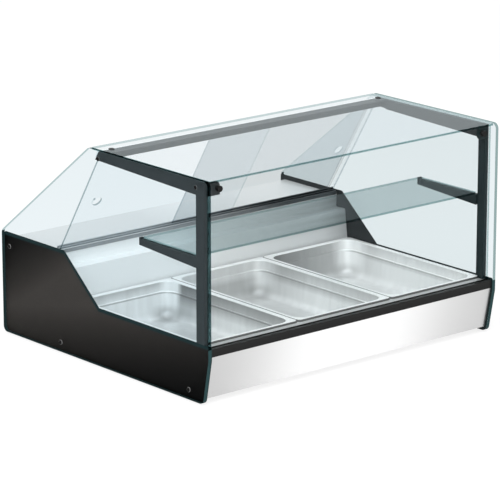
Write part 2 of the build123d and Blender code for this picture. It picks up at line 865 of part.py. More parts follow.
with BuildPart() as lower_track:
    with BuildSketch(Plane.YZ.offset(-track_half)):
        with BuildLine():
            Polyline(
                (on_slope(0, -track_side)[0], rear_deck_z),
                (on_slope(-lower_groove, track_side)[0], rear_deck_z),
                on_slope(-lower_groove, track_side),
                on_slope(0, track_side),
                on_slope(0, -track_side),
                close=True,
            )
        make_face()
        for near, far in grooves:
            with BuildLine():
                Polyline(
                    on_slope(-lower_groove, near),
                    on_slope(track_wall, near),
                    on_slope(track_wall, far),
                    on_slope(-lower_groove, far),
                    close=True,
                )
            make_face(mode=Mode.SUBTRACT)
    extrude(amount=2 * track_half)
save(lower_track, "lower_door_track")

upper_start = door_slant - upper_groove
upper_back = on_slope(upper_start + upper_track_height, track_side)
with BuildPart() as upper_track:
    with BuildSketch(Plane.YZ.offset(-track_half)):
        with BuildLine():
            Polyline(
                on_slope(upper_start, -track_side),
                on_slope(upper_start, track_side),
                upper_back,
                (top_rail_rear, upper_back[1]),
                (top_rail_rear, top_glass_bottom - arm_height_rear + sheet),
                close=True,
            )
        make_face()
        for near, far in grooves:
            with BuildLine():
                Polyline(
                    on_slope(upper_start - track_wall, near),
                    on_slope(door_slant, near),
                    on_slope(door_slant, far),
                    on_slope(upper_start - track_wall, far),
                    close=True,
                )
            make_face(mode=Mode.SUBTRACT)
    extrude(amount=2 * track_half)
save(upper_track, "upper_door_track")

# Sliding doors; the left one runs nearer the customer, the right one behind it
door_bottom = -lower_groove + door_clearance
door_top = upper_start + upper_grip
door_outer = track_half - door_end_gap
door_inner = door_overlap / 2
door_width = door_outer + door_inner
for side, sign in sides:
    outward = door_spacing / 2 if sign > 0 else -door_spacing / 2 - door_glass_thickness
    far = on_slope(0, outward + door_glass_thickness)
    door_plane = Plane((0, *far), x_dir=(1, 0, 0), z_dir=(0, -slope_z, slope_y))
    with BuildPart() as door:
        with BuildSketch(door_plane):
            with Locations((sign * (door_outer - door_inner) / 2, (door_bottom + door_top) / 2)):
                RectangleRounded(door_width, door_top - door_bottom, door_corner)
            with Locations((sign * (door_outer - finger_hole_inset), (door_bottom + door_top) / 2)):
                Circle(finger_hole / 2, mode=Mode.SUBTRACT)
        extrude(amount=door_glass_thickness)
    save(door, f"{side}_door")

# Pans, drawn from sheet with a rolled rim and a stacking shoulder
body_width = pan_body_width - 2 * shoulder_step
body_length = pan_body_length - 2 * shoulder_step
rim_corner = pan_corner - pan_sheet
inner_corner = pan_mouth_corner - pan_sheet
outer_bevel = pan_floor_bevel + pan_sheet * (2 - sqrt(2))
pan_names = ("left_pan", "middle_pan", "right_pan")
for name, x in zip(pan_names, pan_xs):
    rim_plane = Plane((x, pan_middle, rim_z), z_dir=(0, 0, -1))
    with BuildPart() as pan:
        with BuildSketch(rim_plane):
            RectangleRounded(pan_width, pan_length, pan_corner)
        extrude(amount=pan_lip)
        with BuildSketch(rim_plane.offset(pan_sheet)):
            RectangleRounded(pan_width - 2 * pan_sheet, pan_length - 2 * pan_sheet, rim_corner)
        extrude(amount=pan_lip - pan_sheet, mode=Mode.SUBTRACT)
        with BuildSketch(rim_plane):
            RectangleRounded(pan_body_width, pan_body_length, pan_mouth_corner)
        extrude(amount=shoulder_drop + pan_sheet)
        with BuildSketch(rim_plane.offset(shoulder_drop)):
            RectangleRounded(body_width, body_length, pan_mouth_corner)
        extrude(amount=pan_depth - shoulder_drop, taper=pan_draft)
        with BuildSketch(rim_plane):
            RectangleRounded(
                pan_body_width - 2 * pan_sheet, pan_body_length - 2 * pan_sheet, inner_corner
            )
        extrude(amount=shoulder_drop, mode=Mode.SUBTRACT)
        with BuildSketch(rim_plane.offset(shoulder_drop)):
            RectangleRounded(body_width - 2 * pan_sheet, body_length - 2 * pan_sheet, inner_corner)
        extrude(amount=pan_depth - shoulder_drop - pan_sheet, taper=pan_draft, mode=Mode.SUBTRACT)
        floors = pan.faces().filter_by(Axis.Z).sort_by(Axis.Z)
        chamfer(floors[1].edges(), length=pan_floor_bevel)
        floors = pan.faces().filter_by(Axis.Z).sort_by(Axis.Z)
        chamfer(floors[0].edges(), length=outer_bevel)
    save(pan, name)
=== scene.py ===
"""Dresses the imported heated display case: finishes, drawn pans, screws, dial marks and a white studio."""

import math

import bpy
from mathutils import Matrix, Vector


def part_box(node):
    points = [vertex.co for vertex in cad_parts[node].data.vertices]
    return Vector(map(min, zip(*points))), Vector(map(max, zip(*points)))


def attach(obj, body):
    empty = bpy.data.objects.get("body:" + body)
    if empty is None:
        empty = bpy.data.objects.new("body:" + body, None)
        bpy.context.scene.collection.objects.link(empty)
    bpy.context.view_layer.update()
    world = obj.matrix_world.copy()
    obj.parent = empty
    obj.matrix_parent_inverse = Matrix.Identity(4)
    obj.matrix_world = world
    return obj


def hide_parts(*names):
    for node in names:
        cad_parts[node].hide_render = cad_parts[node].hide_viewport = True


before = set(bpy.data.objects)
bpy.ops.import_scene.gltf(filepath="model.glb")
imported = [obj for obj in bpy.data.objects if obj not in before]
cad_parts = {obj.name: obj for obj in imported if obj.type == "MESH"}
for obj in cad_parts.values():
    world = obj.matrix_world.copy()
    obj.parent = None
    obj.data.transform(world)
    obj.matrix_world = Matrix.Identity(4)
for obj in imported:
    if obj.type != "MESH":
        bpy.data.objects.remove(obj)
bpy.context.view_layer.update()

bl_info = {
    "name": "Heated display case",
    "version": (1, 0, 0),
    "blender": (4, 5, 0),
    "location": "View3D > Sidebar > Display case",
    "description": "Finishes, screws, dial marks and studio of a heated display case",
    "category": "Object",
}

MM = 0.001
X, Y, Z = range(3)
RIGHT, REAR, UP = Vector((1, 0, 0)), Vector((0, 1, 0)), Vector((0, 0, 1))
SIDES = (("left", -1), ("right", 1))
PANS = ("left_pan", "middle_pan", "right_pan")
BLACK, WHITE = (0.0, 0.0, 0.0), (1.0, 1.0, 1.0)

# Least cosine between a direction and the normal of a face that faces, slants or leans that way
FACES, SLANTS, LEANS = 0.9, 0.7, 0.3

# Panes shrink by the air and end plates grow by the coat, which differ so that no two faces coincide
AIR = 0.2 * MM
COAT = 0.3 * MM

# Refractive indices of the panes and the shelf, the mirrored share where gloss starts, and its tint
GLASS_INDEX = 1.45
SHELF_INDEX = 1.2
GLOSS_START = 0.09
GLOSS_TINT = (0.88, 0.97, 1.0)

# Roughness and specular level of satin paint and of ground glass, and roughness of brushed steel
SATIN, SATIN_SPECULAR = 0.42, 0.12
GROUND, GROUND_SPECULAR = 0.3, 0.05
BRUSHED = 0.34

# Cloudiness and grain of plain finishes: scales along each axis, and how far clouds change the look
CLOUD_SCALE = (70.0, 70.0, 70.0)
CLOUD_TONE = 0.1
CLOUD_ROUGHNESS = 0.12
GRAIN_SCALE = (700.0, 700.0, 700.0)

# Lines of brushed steel: their scale along each axis, their strength and tint, and their roughness
BRUSH_SCALE = (14.0, 2600.0, 2600.0)
BRUSH_TONE = 0.08
BRUSH_TINT = (0.3, 0.3, 0.3)
BRUSH_ROUGHNESS = 0.06

# Soft bands of painted reflection on brushed steel: their scale along each axis, the noise at their edges,
# and their tint
BAND_SCALE = (1.2, 45.0, 45.0)
BAND_EDGES = (0.35, 0.65)
BAND_TINT = (0.9, 0.91, 0.92)

# Shares of a screw cap's height that its bevel and its socket take
CAP_BEVEL = 0.4
CAP_SOCKET = 0.6


def number_prop(name, description, default, **kind):
    """A number that a user may change."""
    return bpy.props.FloatProperty(name=name, description=description, default=default, **kind)


def size_prop(name, description, millimetres):
    """A length that a user may change, given in millimetres."""
    return number_prop(name, description, millimetres * MM, min=0.0, unit="LENGTH", precision=4)


def place_prop(name, description, *place):
    """A place that a user may change, in metres."""
    return bpy.props.FloatVectorProperty(name=name, description=description, default=place, unit="LENGTH")


def colour_prop(name, description, *tones):
    """A linear colour that a user may change; one tone alone is a grey."""
    return bpy.props.FloatVectorProperty(
        name=name,
        description=description,
        default=tones if len(tones) == 3 else tones * 3,
        subtype="COLOR",
        size=3,
        min=0.0,
        max=1.0,
    )


class FinishSettings(bpy.types.PropertyGroup):
    """Colours of the case's finishes, some of which paint light and shade."""

    left_pane: colour_prop("Left pane", "Light through a face of the left side pane", 0.885, 0.92, 0.933)
    right_pane: colour_prop("Right pane", "Light through a face of the right side pane", 0.884, 0.916, 0.927)
    pane: colour_prop("Front pane", "Light through a face of the front pane", 0.95, 0.961, 0.96)
    top_pane: colour_prop("Top pane", "Light through a face of the top pane", 0.918, 0.932, 0.938)
    left_door: colour_prop("Left door", "Light through a face of the left door", 0.966, 0.978, 0.984)
    # The right door's tint is darker than the left door's, as painted shade
    right_door: colour_prop("Right door", "Light through a face of the right door", 0.825, 0.842, 0.85)
    shelf: colour_prop("Shelf", "Light through a face of the shelf", 0.75, 0.794, 0.798)
    pane_edge: colour_prop("Near edge", "Light into a cut edge of the flat panes", 0.45, 0.58, 0.58)
    left_edge: colour_prop("Left edge", "Light into a cut edge of the left side pane", 0.1, 0.17, 0.175)
    right_edge: colour_prop("Right edge", "Light into a cut edge of the right side pane", 0.33, 0.43, 0.425)
    far_edge: colour_prop("Far edge", "Light out of a cut edge of glass", 0.5, 0.6, 0.6)
    toe_edge: colour_prop("Toe edge", "Ground edge of a side pane by the front panel", 0.02, 0.05, 0.053)
    slant_edge: colour_prop("Slanting edge", "Right pane's slanting edge, left door's end", 0.84, 0.88, 0.88)
    left_door_edge: colour_prop("Left door edge", "Light through the left door's edges", 0.45, 0.52, 0.53)
    right_door_edge: colour_prop("Right door edge", "Light through the right door's edges", 0.68, 0.72, 0.74)
    dark_edge: colour_prop("Edge by the plate", "Cut edge that lies along an end plate", 0.015, 0.03, 0.031)
    plate: colour_prop("End plate", "Satin black of the end plates", 0.002)
    # Painted sheen: a lighter band across the end plates; the control plate also takes this colour as its own
    painted_sheen_and_control_plate: colour_prop("End plate sheen", "Lighter band across the end plates", 0.049, 0.042, 0.038)
    plate_rim: colour_prop("End plate rim", "Cut edges of the end plates", 0.012, 0.03, 0.03)
    # Painted shade on the front of the right end plate's inner face
    plate_inside_painted_shade: colour_prop("End plate inside", "Right end plate's front inner face", 0.005, 0.012, 0.013)
    plate_band: colour_prop("End plate band", "Teal band along a plate's upper edge", 0.013, 0.028, 0.03)
    bar: colour_prop("Bars", "Powder coat of the posts, arms and rails", 0.034, 0.038, 0.04)
    # Painted shade: a darker copy of the bars' powder coat, on the right post, shelf arm and glass bracket
    bar_painted_shade: colour_prop("Shaded bars", "Powder coat of the right post and shelf arm", 0.016, 0.025, 0.027)
    # Painted highlight: the front rail grows lighter towards its top
    rail_painted_highlight: colour_prop("Bar edge", "Powder coat where the front rail catches light", 0.016)
    rail: colour_prop("Front rail", "Powder coat of the front rail", 0.008)
    screw: colour_prop("Side screws", "Rings of the screws in the end plates", 0.16)
    frame_screw: colour_prop("Frame screws", "Rings of the screws in the posts and arms", 0.055, 0.06, 0.06)
    track: colour_prop("Track", "Anodised aluminium of the door tracks", 0.3, 0.31, 0.32)
    # Painted light: the lower track's upper faces are lighter than its front
    track_top: colour_prop("Track top", "Upper faces of the lower door track", 0.5, 0.51, 0.52)
    # Painted shade: the door tracks darken towards the right
    track_painted_shade: colour_prop("Track end", "Door tracks towards the right", 0.055, 0.062, 0.066)
    track_pale: colour_prop("Upper track", "Upper and rear faces of the upper track", 0.96, 0.97, 0.97)
    profile: colour_prop("End profile", "Light through a face of the door's end profile", 0.985)
    # Painted shadow line: the profile's lip lets less light through than the rest of it
    profile_lip_painted_shade: colour_prop("Profile lip", "Light through a face of its lip", 0.8, 0.79, 0.785)
    steel: colour_prop("Sheet steel", "Brushed stainless sheet", 0.98)
    # Painted shade: the rear deck is darker towards the left
    deck_painted_shade: colour_prop("Dull steel", "Rear deck towards the left", 0.7252)
    # Painted shade on sheet steel: the back wall towards the right and the pan deck at its front
    steel_painted_shade: colour_prop("Shaded steel", "Brushed stainless sheet in shade", 0.32, 0.32, 0.325)
    rear_steel: colour_prop("Rear steel", "Brushed sheet of the rear and the tray", 0.68, 0.68, 0.685)
    # Painted shade: the rear sheet darkens towards the floor
    rear_floor_painted_shade: colour_prop("Rear steel, low", "The same sheet near the floor", 0.54, 0.54, 0.545)
    pan_steel: colour_prop("Pan steel", "Drawn stainless steel of the pans", 0.98)
    # Painted highlight: the pan rims are near-white and mostly matt, in place of the bright reflection of
    # polished steel
    pan_rim_painted_highlight: colour_prop("Pan rim", "Polished flat rims of the pans", 0.96)
    # Painted shade: the turned-down pan edges are dark, for the shade in the gaps between the pans
    pan_lip_painted_shade: colour_prop("Pan lip", "Turned-down edges of the pans", 0.14)
    # Painted highlight in the front panel's middle, and painted shade at its ends
    panel_end_painted_shade: colour_prop("Panel ends", "Front panel near its ends", 0.57)
    panel_middle_painted_highlight: colour_prop("Panel middle", "Front panel in its middle", 0.98)
    plastic: colour_prop("Plastic", "Black moulded plastic of the controls", 0.018, 0.018, 0.019)
    terminal: colour_prop("Terminal block", "Pale plastic of the terminal block", 0.7, 0.7, 0.66)
    marks: colour_prop("Marks", "Printed dial marks", 0.75)
    lamp: colour_prop("Lamp", "Amber lens of the pilot lamp", 0.75, 0.25, 0.04)
    rubber: colour_prop("Rubber", "Rubber of the feet", 0.02)
    insulation: colour_prop("Insulation", "Mineral fibre board round the well", 0.6, 0.57, 0.48)
    mat: colour_prop("Heating mats", "Silicone of the heating mats", 0.4, 0.1, 0.06)


class PanSettings(bpy.types.PropertyGroup):
    """Shape of the drawn pans."""

    rim_corner: size_prop("Rim corner", "Round of the rim's outer corners", 13.0)
    mouth_corner: size_prop("Mouth corner", "Round of the mouth's corners", 38.0)
    flange: size_prop("Flange", "Width of the flat rim", 10.0)
    edge: size_prop("Edge", "Round of the rim's outer edge", 1.5)
    lip: size_prop("Lip", "Height of the turned-down edge", 4.0)
    rim_round: size_prop("Rim round", "Round where the rim turns down", 2.0)
    shoulder_drop: size_prop("Shoulder drop", "Depth of the stacking shoulder", 28.0)
    shoulder_step: size_prop("Shoulder step", "How far the shoulder steps in", 4.0)
    draft: size_prop("Draft", "How far a wall leans in below the shoulder", 3.0)
    floor_round: size_prop("Floor round", "Round between the walls and the floor", 22.0)
    sheet: size_prop("Sheet", "Thickness of the sheet", 1.0)


class ProfileSettings(bpy.types.PropertyGroup):
    """Sizes of the right door's end profile."""

    width: size_prop("Width", "Width over the door's end", 26.0)
    lip: size_prop("Lip", "Width of the lip along its open side", 2.5)
    wall: size_prop("Wall", "Thickness of its walls", 0.8)
    play: size_prop("Play", "Air between the profile and the pane", 0.1)
    clearance: size_prop("Clearance", "How far its ends stay clear of the pane's upper and lower edges", 16.0)


class MarkSettings(bpy.types.PropertyGroup):
    """Sizes of the printed marks round the controls."""

    gap: size_prop("Gap", "Distance from the knob to the ticks", 3.0)
    tick: size_prop("Tick", "Length of a tick", 4.0)
    stroke: size_prop("Stroke", "Width of a tick", 0.9)
    pointer: size_prop("Pointer", "Length of the knob's line", 8.0)
    pointer_stroke: size_prop("Pointer stroke", "Width of the knob's line", 1.44)
    pointer_inset: size_prop("Pointer inset", "Distance of its middle from the knob's edge", 8.8)
    letter: size_prop("Letters", "Height of the letters", 6.5)
    film: size_prop("Film", "Thickness of the print", 0.15)


class ScrewSettings(bpy.types.PropertyGroup):
    """Sizes and places of the screws that the scene adds."""

    side_radius: size_prop("Side cap radius", "Caps of the screws into the end plates", 6.5)
    frame_radius: size_prop("Frame cap radius", "Caps of the screws into the posts and arms", 6.0)
    top_radius: size_prop("Top cap radius", "Caps of the screws through the top glass", 8.0)
    panel_radius: size_prop("Panel screw radius", "Screws of the rear panel", 4.5)
    cap_height: size_prop("Cap height", "How far a cap stands proud", 1.6)
    foot_rise: size_prop("Foot rise", "Low side screws above the pane's foot", 27.0)
    front_inset: size_prop("Front inset", "First side screw behind the pane's front", 78.0)
    middle_inset: size_prop("Middle inset", "Second side screw behind the pane's front", 614.0)
    rear_inset: size_prop("Rear inset", "Third side screw before the pane's rear", 35.0)
    head_drop: size_prop("Head drop", "Third side screw below the plate's top", 34.0)
    post_inset: size_prop("Post inset", "Post's screw behind its front", 21.0)
    post_drop: size_prop("Post drop", "Post's screw below its top", 15.0)
    arm_inset: size_prop("Arm inset", "Top arm's screw before its rear", 26.0)
    arm_drop: size_prop("Arm drop", "Top arm's screw below its top", 16.0)
    top_spread: size_prop("Top spread", "Top screws from the case's middle", 465.0)
    top_inset: size_prop("Top inset", "Top screws before the rear rail's rear", 20.0)
    panel_inset: size_prop("Panel inset", "Rear panel's screws from its edges", 12.0)


class StageSettings(bpy.types.PropertyGroup):
    """Camera and light."""

    view_turn: number_prop("View turn", "Camera's turn from the front", math.radians(40.33), unit="ROTATION")
    view_rise: number_prop("View rise", "Camera's height as an angle", math.radians(15.39), unit="ROTATION")
    view_distance: number_prop("View distance", "Distance of the camera", 8.5414, unit="LENGTH")
    view_target: place_prop("View target", "Point that the camera looks at", 0.0, -0.005, 0.2323)
    lens: number_prop("Lens", "Focal length in millimetres", 228.4, unit="CAMERA")
    ambient: number_prop("Ambient", "Even light from all round", 1.0, subtype="FACTOR")
    key_power: number_prop("Key light", "Power of the large lamp above", 85.0, unit="POWER")
    key_place: place_prop("Key place", "Place of the large lamp above", -0.8, -1.2, 3.6)
    key_width: number_prop("Key width", "Sides of the large lamp above", 3.2, unit="LENGTH")
    fill_power: number_prop("Fill light", "Power of the lamp in front", 60.0, unit="POWER")
    fill_place: place_prop("Fill place", "Place of the lamp in front", -3.4, -3.2, 2.2)
    fill_width: number_prop("Fill width", "Sides of the lamp in front", 2.4, unit="LENGTH")
    floor_width: number_prop("Floor width", "Sides of the floor", 80.0, unit="LENGTH")


class Value:
    """A number of a shader; arithmetic on it adds Math nodes."""

    def __init__(self, paint, socket):
        self.paint = paint
        self.socket = socket

    def _math(self, operation, first, second):
        node = self.paint.node("ShaderNodeMath", {"operation": operation}, {0: first, 1: second})
        return Value(self.paint, node.outputs[0])

    def __add__(self, other):
        return self._math("ADD", self, other)

    def __radd__(self, other):
        return self._math("ADD", other, self)

    def __sub__(self, other):
        return self._math("SUBTRACT", self, other)

    def __rsub__(self, other):
        return self._math("SUBTRACT", other, self)

    def __mul__(self, other):
        return self._math("MULTIPLY", self, other)

    def __rmul__(self, other):
        return self._math("MULTIPLY", other, self)

    def __truediv__(self, other):
        return self._math("DIVIDE", self, other)

    def __rtruediv__(self, other):
        return self._math("DIVIDE", other, self)

    def __pow__(self, other):
        return self._math("POWER", self, other)

    def __rpow__(self, other):
        return self._math("POWER", other, self)

    def at_most(self, other):
        """The smaller of the two."""
        return self._math("MINIMUM", self, other)

    def at_least(self, other):
        """The larger of the two."""
        return self._math("MAXIMUM", self, other)


class Paint:
    """The node tree of a material or a world, while it is being filled."""

    def __init__(self, owner):
        owner.use_nodes = True
        self.owner = owner
        self.tree = owner.node_tree
        self.tree.nodes.clear()

    def feed(self, socket, value):
        """Link a node's first output or a value to a socket, or set a number or colour there."""
        if isinstance(value, bpy.types.Node):
            value = value.outputs[0]
        elif isinstance(value, Value):
            value = value.socket
        if isinstance(value, bpy.types.NodeSocket):
            self.tree.links.new(value, socket)
        elif socket.type == "RGBA":
            socket.default_value = (*value, 1.0)
        else:
            socket.default_value = value

    def node(self, kind, settings=None, inputs=None):
        """Add a node of any kind: its settings first, then the values or links of its sockets."""
        node = self.tree.nodes.new(kind)
        for name, value in (settings or {}).items():
            setattr(node, name, value)
        for key, value in (inputs or {}).items():
            self.feed(node.inputs[key], value)
        return node

    def place(self):
        """The three Object coordinates as values, in metres."""
        coordinates = self.node("ShaderNodeTexCoord")
        split = self.node("ShaderNodeSeparateXYZ", inputs={0: coordinates.outputs["Object"]})
        return [Value(self, output) for output in split.outputs]

    def fade(self, value, start, end):
        """0 before the start and 1 past the end, with an even rise between them."""
        return ((value - start) / (end - start)).at_least(0.0).at_most(1.0)

    def streaks(self, scale, detail=3.0):
        """Noise from 0 to 1, stretched by a scale for each axis."""
        place = self.node("ShaderNodeTexCoord").outputs["Object"]
        mapped = self.node("ShaderNodeMapping", inputs={"Vector": place, "Scale": scale})
        noise = self.node("ShaderNodeTexNoise", inputs={"Vector": mapped, "Scale": 1.0, "Detail": detail})
        return Value(self, noise.outputs["Fac"])

    def bump(self, height, depth):
        """Normal of a surface whose height is a value from 0 to 1 times a depth in millimetres."""
        return self.node("ShaderNodeBump", inputs={"Height": height, "Distance": depth * MM})

    def mix(self, factor, first, second):
        """One colour blended into another."""
        return self.node("ShaderNodeMix", {"data_type": "RGBA"}, {0: factor, 6: first, 7: second}).outputs[2]

    def principled(self, colour, roughness, metallic=0.0, specular=0.5, coat=0.0, normal=None):
        """A Principled shader."""
        inputs = {
            "Base Color": colour,
            "Roughness": roughness,
            "Metallic": metallic,
            "Specular IOR Level": specular,
            "Coat Weight": coat,
        }
        if normal is not None:
            inputs["Normal"] = normal
        return self.node("ShaderNodeBsdfPrincipled", inputs=inputs)

    def see_through(self, tint):
        """A shader that only tints the light that goes through."""
        return self.node("ShaderNodeBsdfTransparent", inputs={"Color": tint})

    def blend(self, factor, first, second):
        """One shader blended into another."""
        return self.node("ShaderNodeMixShader", inputs={0: factor, 1: first, 2: second})

    def surface(self, shader, output="ShaderNodeOutputMaterial"):
        """Send a shader to the output, and give back the finished material or world."""
        self.node(output, inputs={"Surface": shader})
        return self.owner


def new_paint(name):
    """The empty tree of a new material."""
    return Paint(bpy.data.materials.new(name))


def plain(name, colour, roughness, metallic=0.0, coat=0.0, specular=0.5, grain=0.0):
    """A finish of one colour, a little cloudy; the grain is its texture's height in millimetres."""
    paint = new_paint(name)
    cloud = paint.streaks(CLOUD_SCALE)
    darker = [tone * (1.0 - CLOUD_TONE) for tone in colour]
    lighter = [min(tone * (1.0 + CLOUD_TONE), 1.0) for tone in colour]
    cloudy = paint.mix(cloud, darker, lighter)
    uneven = roughness + (cloud - 0.5) * CLOUD_ROUGHNESS
    normal = paint.bump(paint.streaks(GRAIN_SCALE), grain) if grain else None
    return paint.surface(paint.principled(cloudy, uneven, metallic, specular, coat, normal))


def clear_glass(name, tint, index=GLASS_INDEX, bare_from=None):
    """Thin clear glass: it tints light and is glossier at a slant; past an X it has no tint."""
    paint = new_paint(name)
    through = paint.see_through(tint)
    if bare_from is not None:
        past = paint.fade(paint.place()[X], bare_from, bare_from + MM)
        through = paint.blend(past, through, paint.see_through(WHITE))
    gloss = paint.node("ShaderNodeBsdfGlossy", inputs={"Color": GLOSS_TINT, "Roughness": 0.0})
    fresnel = Value(paint, paint.node("ShaderNodeFresnel", inputs={"IOR": index}).outputs[0])
    inside = Value(paint, paint.node("ShaderNodeNewGeometry").outputs["Backfacing"])
    slant = paint.fade(fresnel, GLOSS_START, 1.0)
    return paint.surface(paint.blend(slant * (1.0 - inside), through, gloss))


def cut_edge(name, near, far=None, ground=None, level=0.0):
    """Cut edge of a pane: tints for light that enters and light that leaves; ground below a level."""
    paint = new_paint(name)
    inside = paint.node("ShaderNodeNewGeometry").outputs["Backfacing"]
    edge = paint.blend(inside, paint.see_through(near), paint.see_through(near if far is None else far))
    if ground is not None:
        matt = paint.principled(ground, GROUND, specular=GROUND_SPECULAR)
        edge = paint.blend(paint.fade(paint.place()[Z], level, level + MM), matt, edge)
    return paint.surface(edge)


def brushed(name, first, second, axis, start, end, metallic=0.4, bands=0.0):
    """Steel, brushed along X, whose tone fades along an axis as painted light and shade; soft bands of
    painted reflection may lie on the second tone.
    """
    paint = new_paint(name)
    tone = paint.fade(paint.place()[axis], start, end)
    lines = paint.streaks(BRUSH_SCALE)
    colour = paint.mix(tone, first, second)
    # Soft bands of painted reflection on the second tone
    if bands:
        soft = paint.fade(paint.streaks(BAND_SCALE, 1.0), *BAND_EDGES)
        colour = paint.mix(soft * tone * bands, colour, BAND_TINT)
    colour = paint.mix(lines * BRUSH_TONE, colour, BRUSH_TINT)
    roughness = BRUSHED + (lines - 0.5) * BRUSH_ROUGHNESS
    return paint.surface(paint.principled(colour, roughness, metallic))


def painted(name, first, second, axis, start, end):
    """Satin paint whose tone fades from one colour to another along an axis."""
    paint = new_paint(name)
    tone = paint.fade(paint.place()[axis], start, end)
    return paint.surface(paint.principled(paint.mix(tone, first, second), SATIN, specular=SATIN_SPECULAR))


def cover(mesh, finishes, choose=None):
    """Give a mesh its finishes; a function chooses one for each face, or the first covers it all."""
    mesh.materials.clear()
    for finish in finishes:
        mesh.materials.append(finish)
    for face in mesh.polygons:
        face.material_index = finishes.index(choose(face)) if choose else 0


def dress(node, *finishes, choose=None):
    """Give a CAD piece its finishes."""
    cover(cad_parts[node].data, finishes, choose)


def dress_pane(node, normal, clear, *edges, choose=None):
    """Clear finish on the two large faces of a pane, edge finishes on the rest, and air all round it."""

    def face_finish(face):
        if abs(face.normal.dot(normal)) > FACES:
            return clear
        return choose(face) if choose else edges[0]

    dress(node, clear, *edges, choose=face_finish)
    swell(node, "air", -AIR)


def swell(node, name, amount):
    """Grow or shrink a CAD piece by a hair, all round."""
    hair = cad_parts[node].modifiers.new(name, "DISPLACE")
    hair.mid_level = 0.0
    hair.strength = amount


def door_plane(node):
    """Normal of a door's pane."""
    return max(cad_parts[node].data.polygons, key=lambda face: face.area).normal.copy()


def deselect():
    """Leave nothing selected, in object mode."""
    bpy.ops.object.select_all(action="DESELECT")


def apply_place():
    """Move the active object's place, turn and scale into its mesh."""
    bpy.ops.object.transform_apply(location=True, rotation=True, scale=True)


def select_faces(obj, test):
    """In edit mode, select the faces that pass a test and no others."""
    bpy.ops.mesh.select_mode(type="FACE")
    bpy.ops.mesh.select_all(action="DESELECT")
    bpy.ops.object.mode_set(mode="OBJECT")
    for face in obj.data.polygons:
        face.select = test(face)
    bpy.ops.object.mode_set(mode="EDIT")


def thicken(obj, thickness, offset):
    """Give the active sheet its thickness, on the side that the offset tells."""
    wall = obj.modifiers.new("wall", "SOLIDIFY")
    wall.thickness = thickness
    wall.offset = offset
    bpy.ops.object.modifier_apply(modifier=wall.name)


def screw_cap(name, radius, height, ring):
    """A round cap on z = 0 with a bevelled rim and a socket; the ring's width is a share of the radius."""
    deselect()
    bpy.ops.mesh.primitive_cylinder_add(vertices=36, radius=radius, depth=height, location=(0, 0, height / 2))
    cap = bpy.context.object
    cap.name = name
    apply_place()
    bpy.ops.object.mode_set(mode="EDIT")
    select_faces(cap, lambda face: face.normal.z > FACES)
    bpy.ops.mesh.bevel(offset=height * CAP_BEVEL, segments=3, affect="EDGES")
    select_faces(cap, lambda face: face.normal.z > FACES and face.area > radius * radius)
    bpy.ops.mesh.inset(thickness=radius * ring, depth=0.0)
    bpy.ops.mesh.extrude_region_move(TRANSFORM_OT_translate={"value": (0, 0, -height * CAP_SOCKET)})
    bpy.ops.object.mode_set(mode="OBJECT")
    bpy.ops.object.shade_smooth_by_angle(angle=math.radians(35))
    return cap


def placed(pattern, matrices):
    """Copies of one modelled piece, each with its own mesh, at each matrix; the pattern goes."""
    made = []
    for matrix in matrices:
        mesh = pattern.data.copy()
        mesh.transform(matrix)
        copy = bpy.data.objects.new(pattern.name, mesh)
        bpy.context.scene.collection.objects.link(copy)
        made.append(copy)
    bpy.data.objects.remove(pattern)
    return made


def joined(name, pieces, *finishes, body="case", choose=None):
    """Join pieces into one object that rides a body, and give it its finishes."""
    deselect()
    for piece in pieces:
        piece.select_set(True)
    bpy.context.view_layer.objects.active = pieces[0]
    if len(pieces) > 1:
        bpy.ops.object.join()
    whole = bpy.context.object
    whole.name = name
    cover(whole.data, finishes, choose)
    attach(whole, body)


def facing(place, normal):
    """Matrix that sets a piece made on z = 0 at a place, with its +Z along a normal."""
    return Matrix.Translation(place) @ UP.rotation_difference(Vector(normal)).to_matrix().to_4x4()


def turned(along_x, along_y, along_z):
    """Matrix that turns the axes into three directions."""
    return Matrix((along_x, along_y, along_z)).transposed().to_4x4()


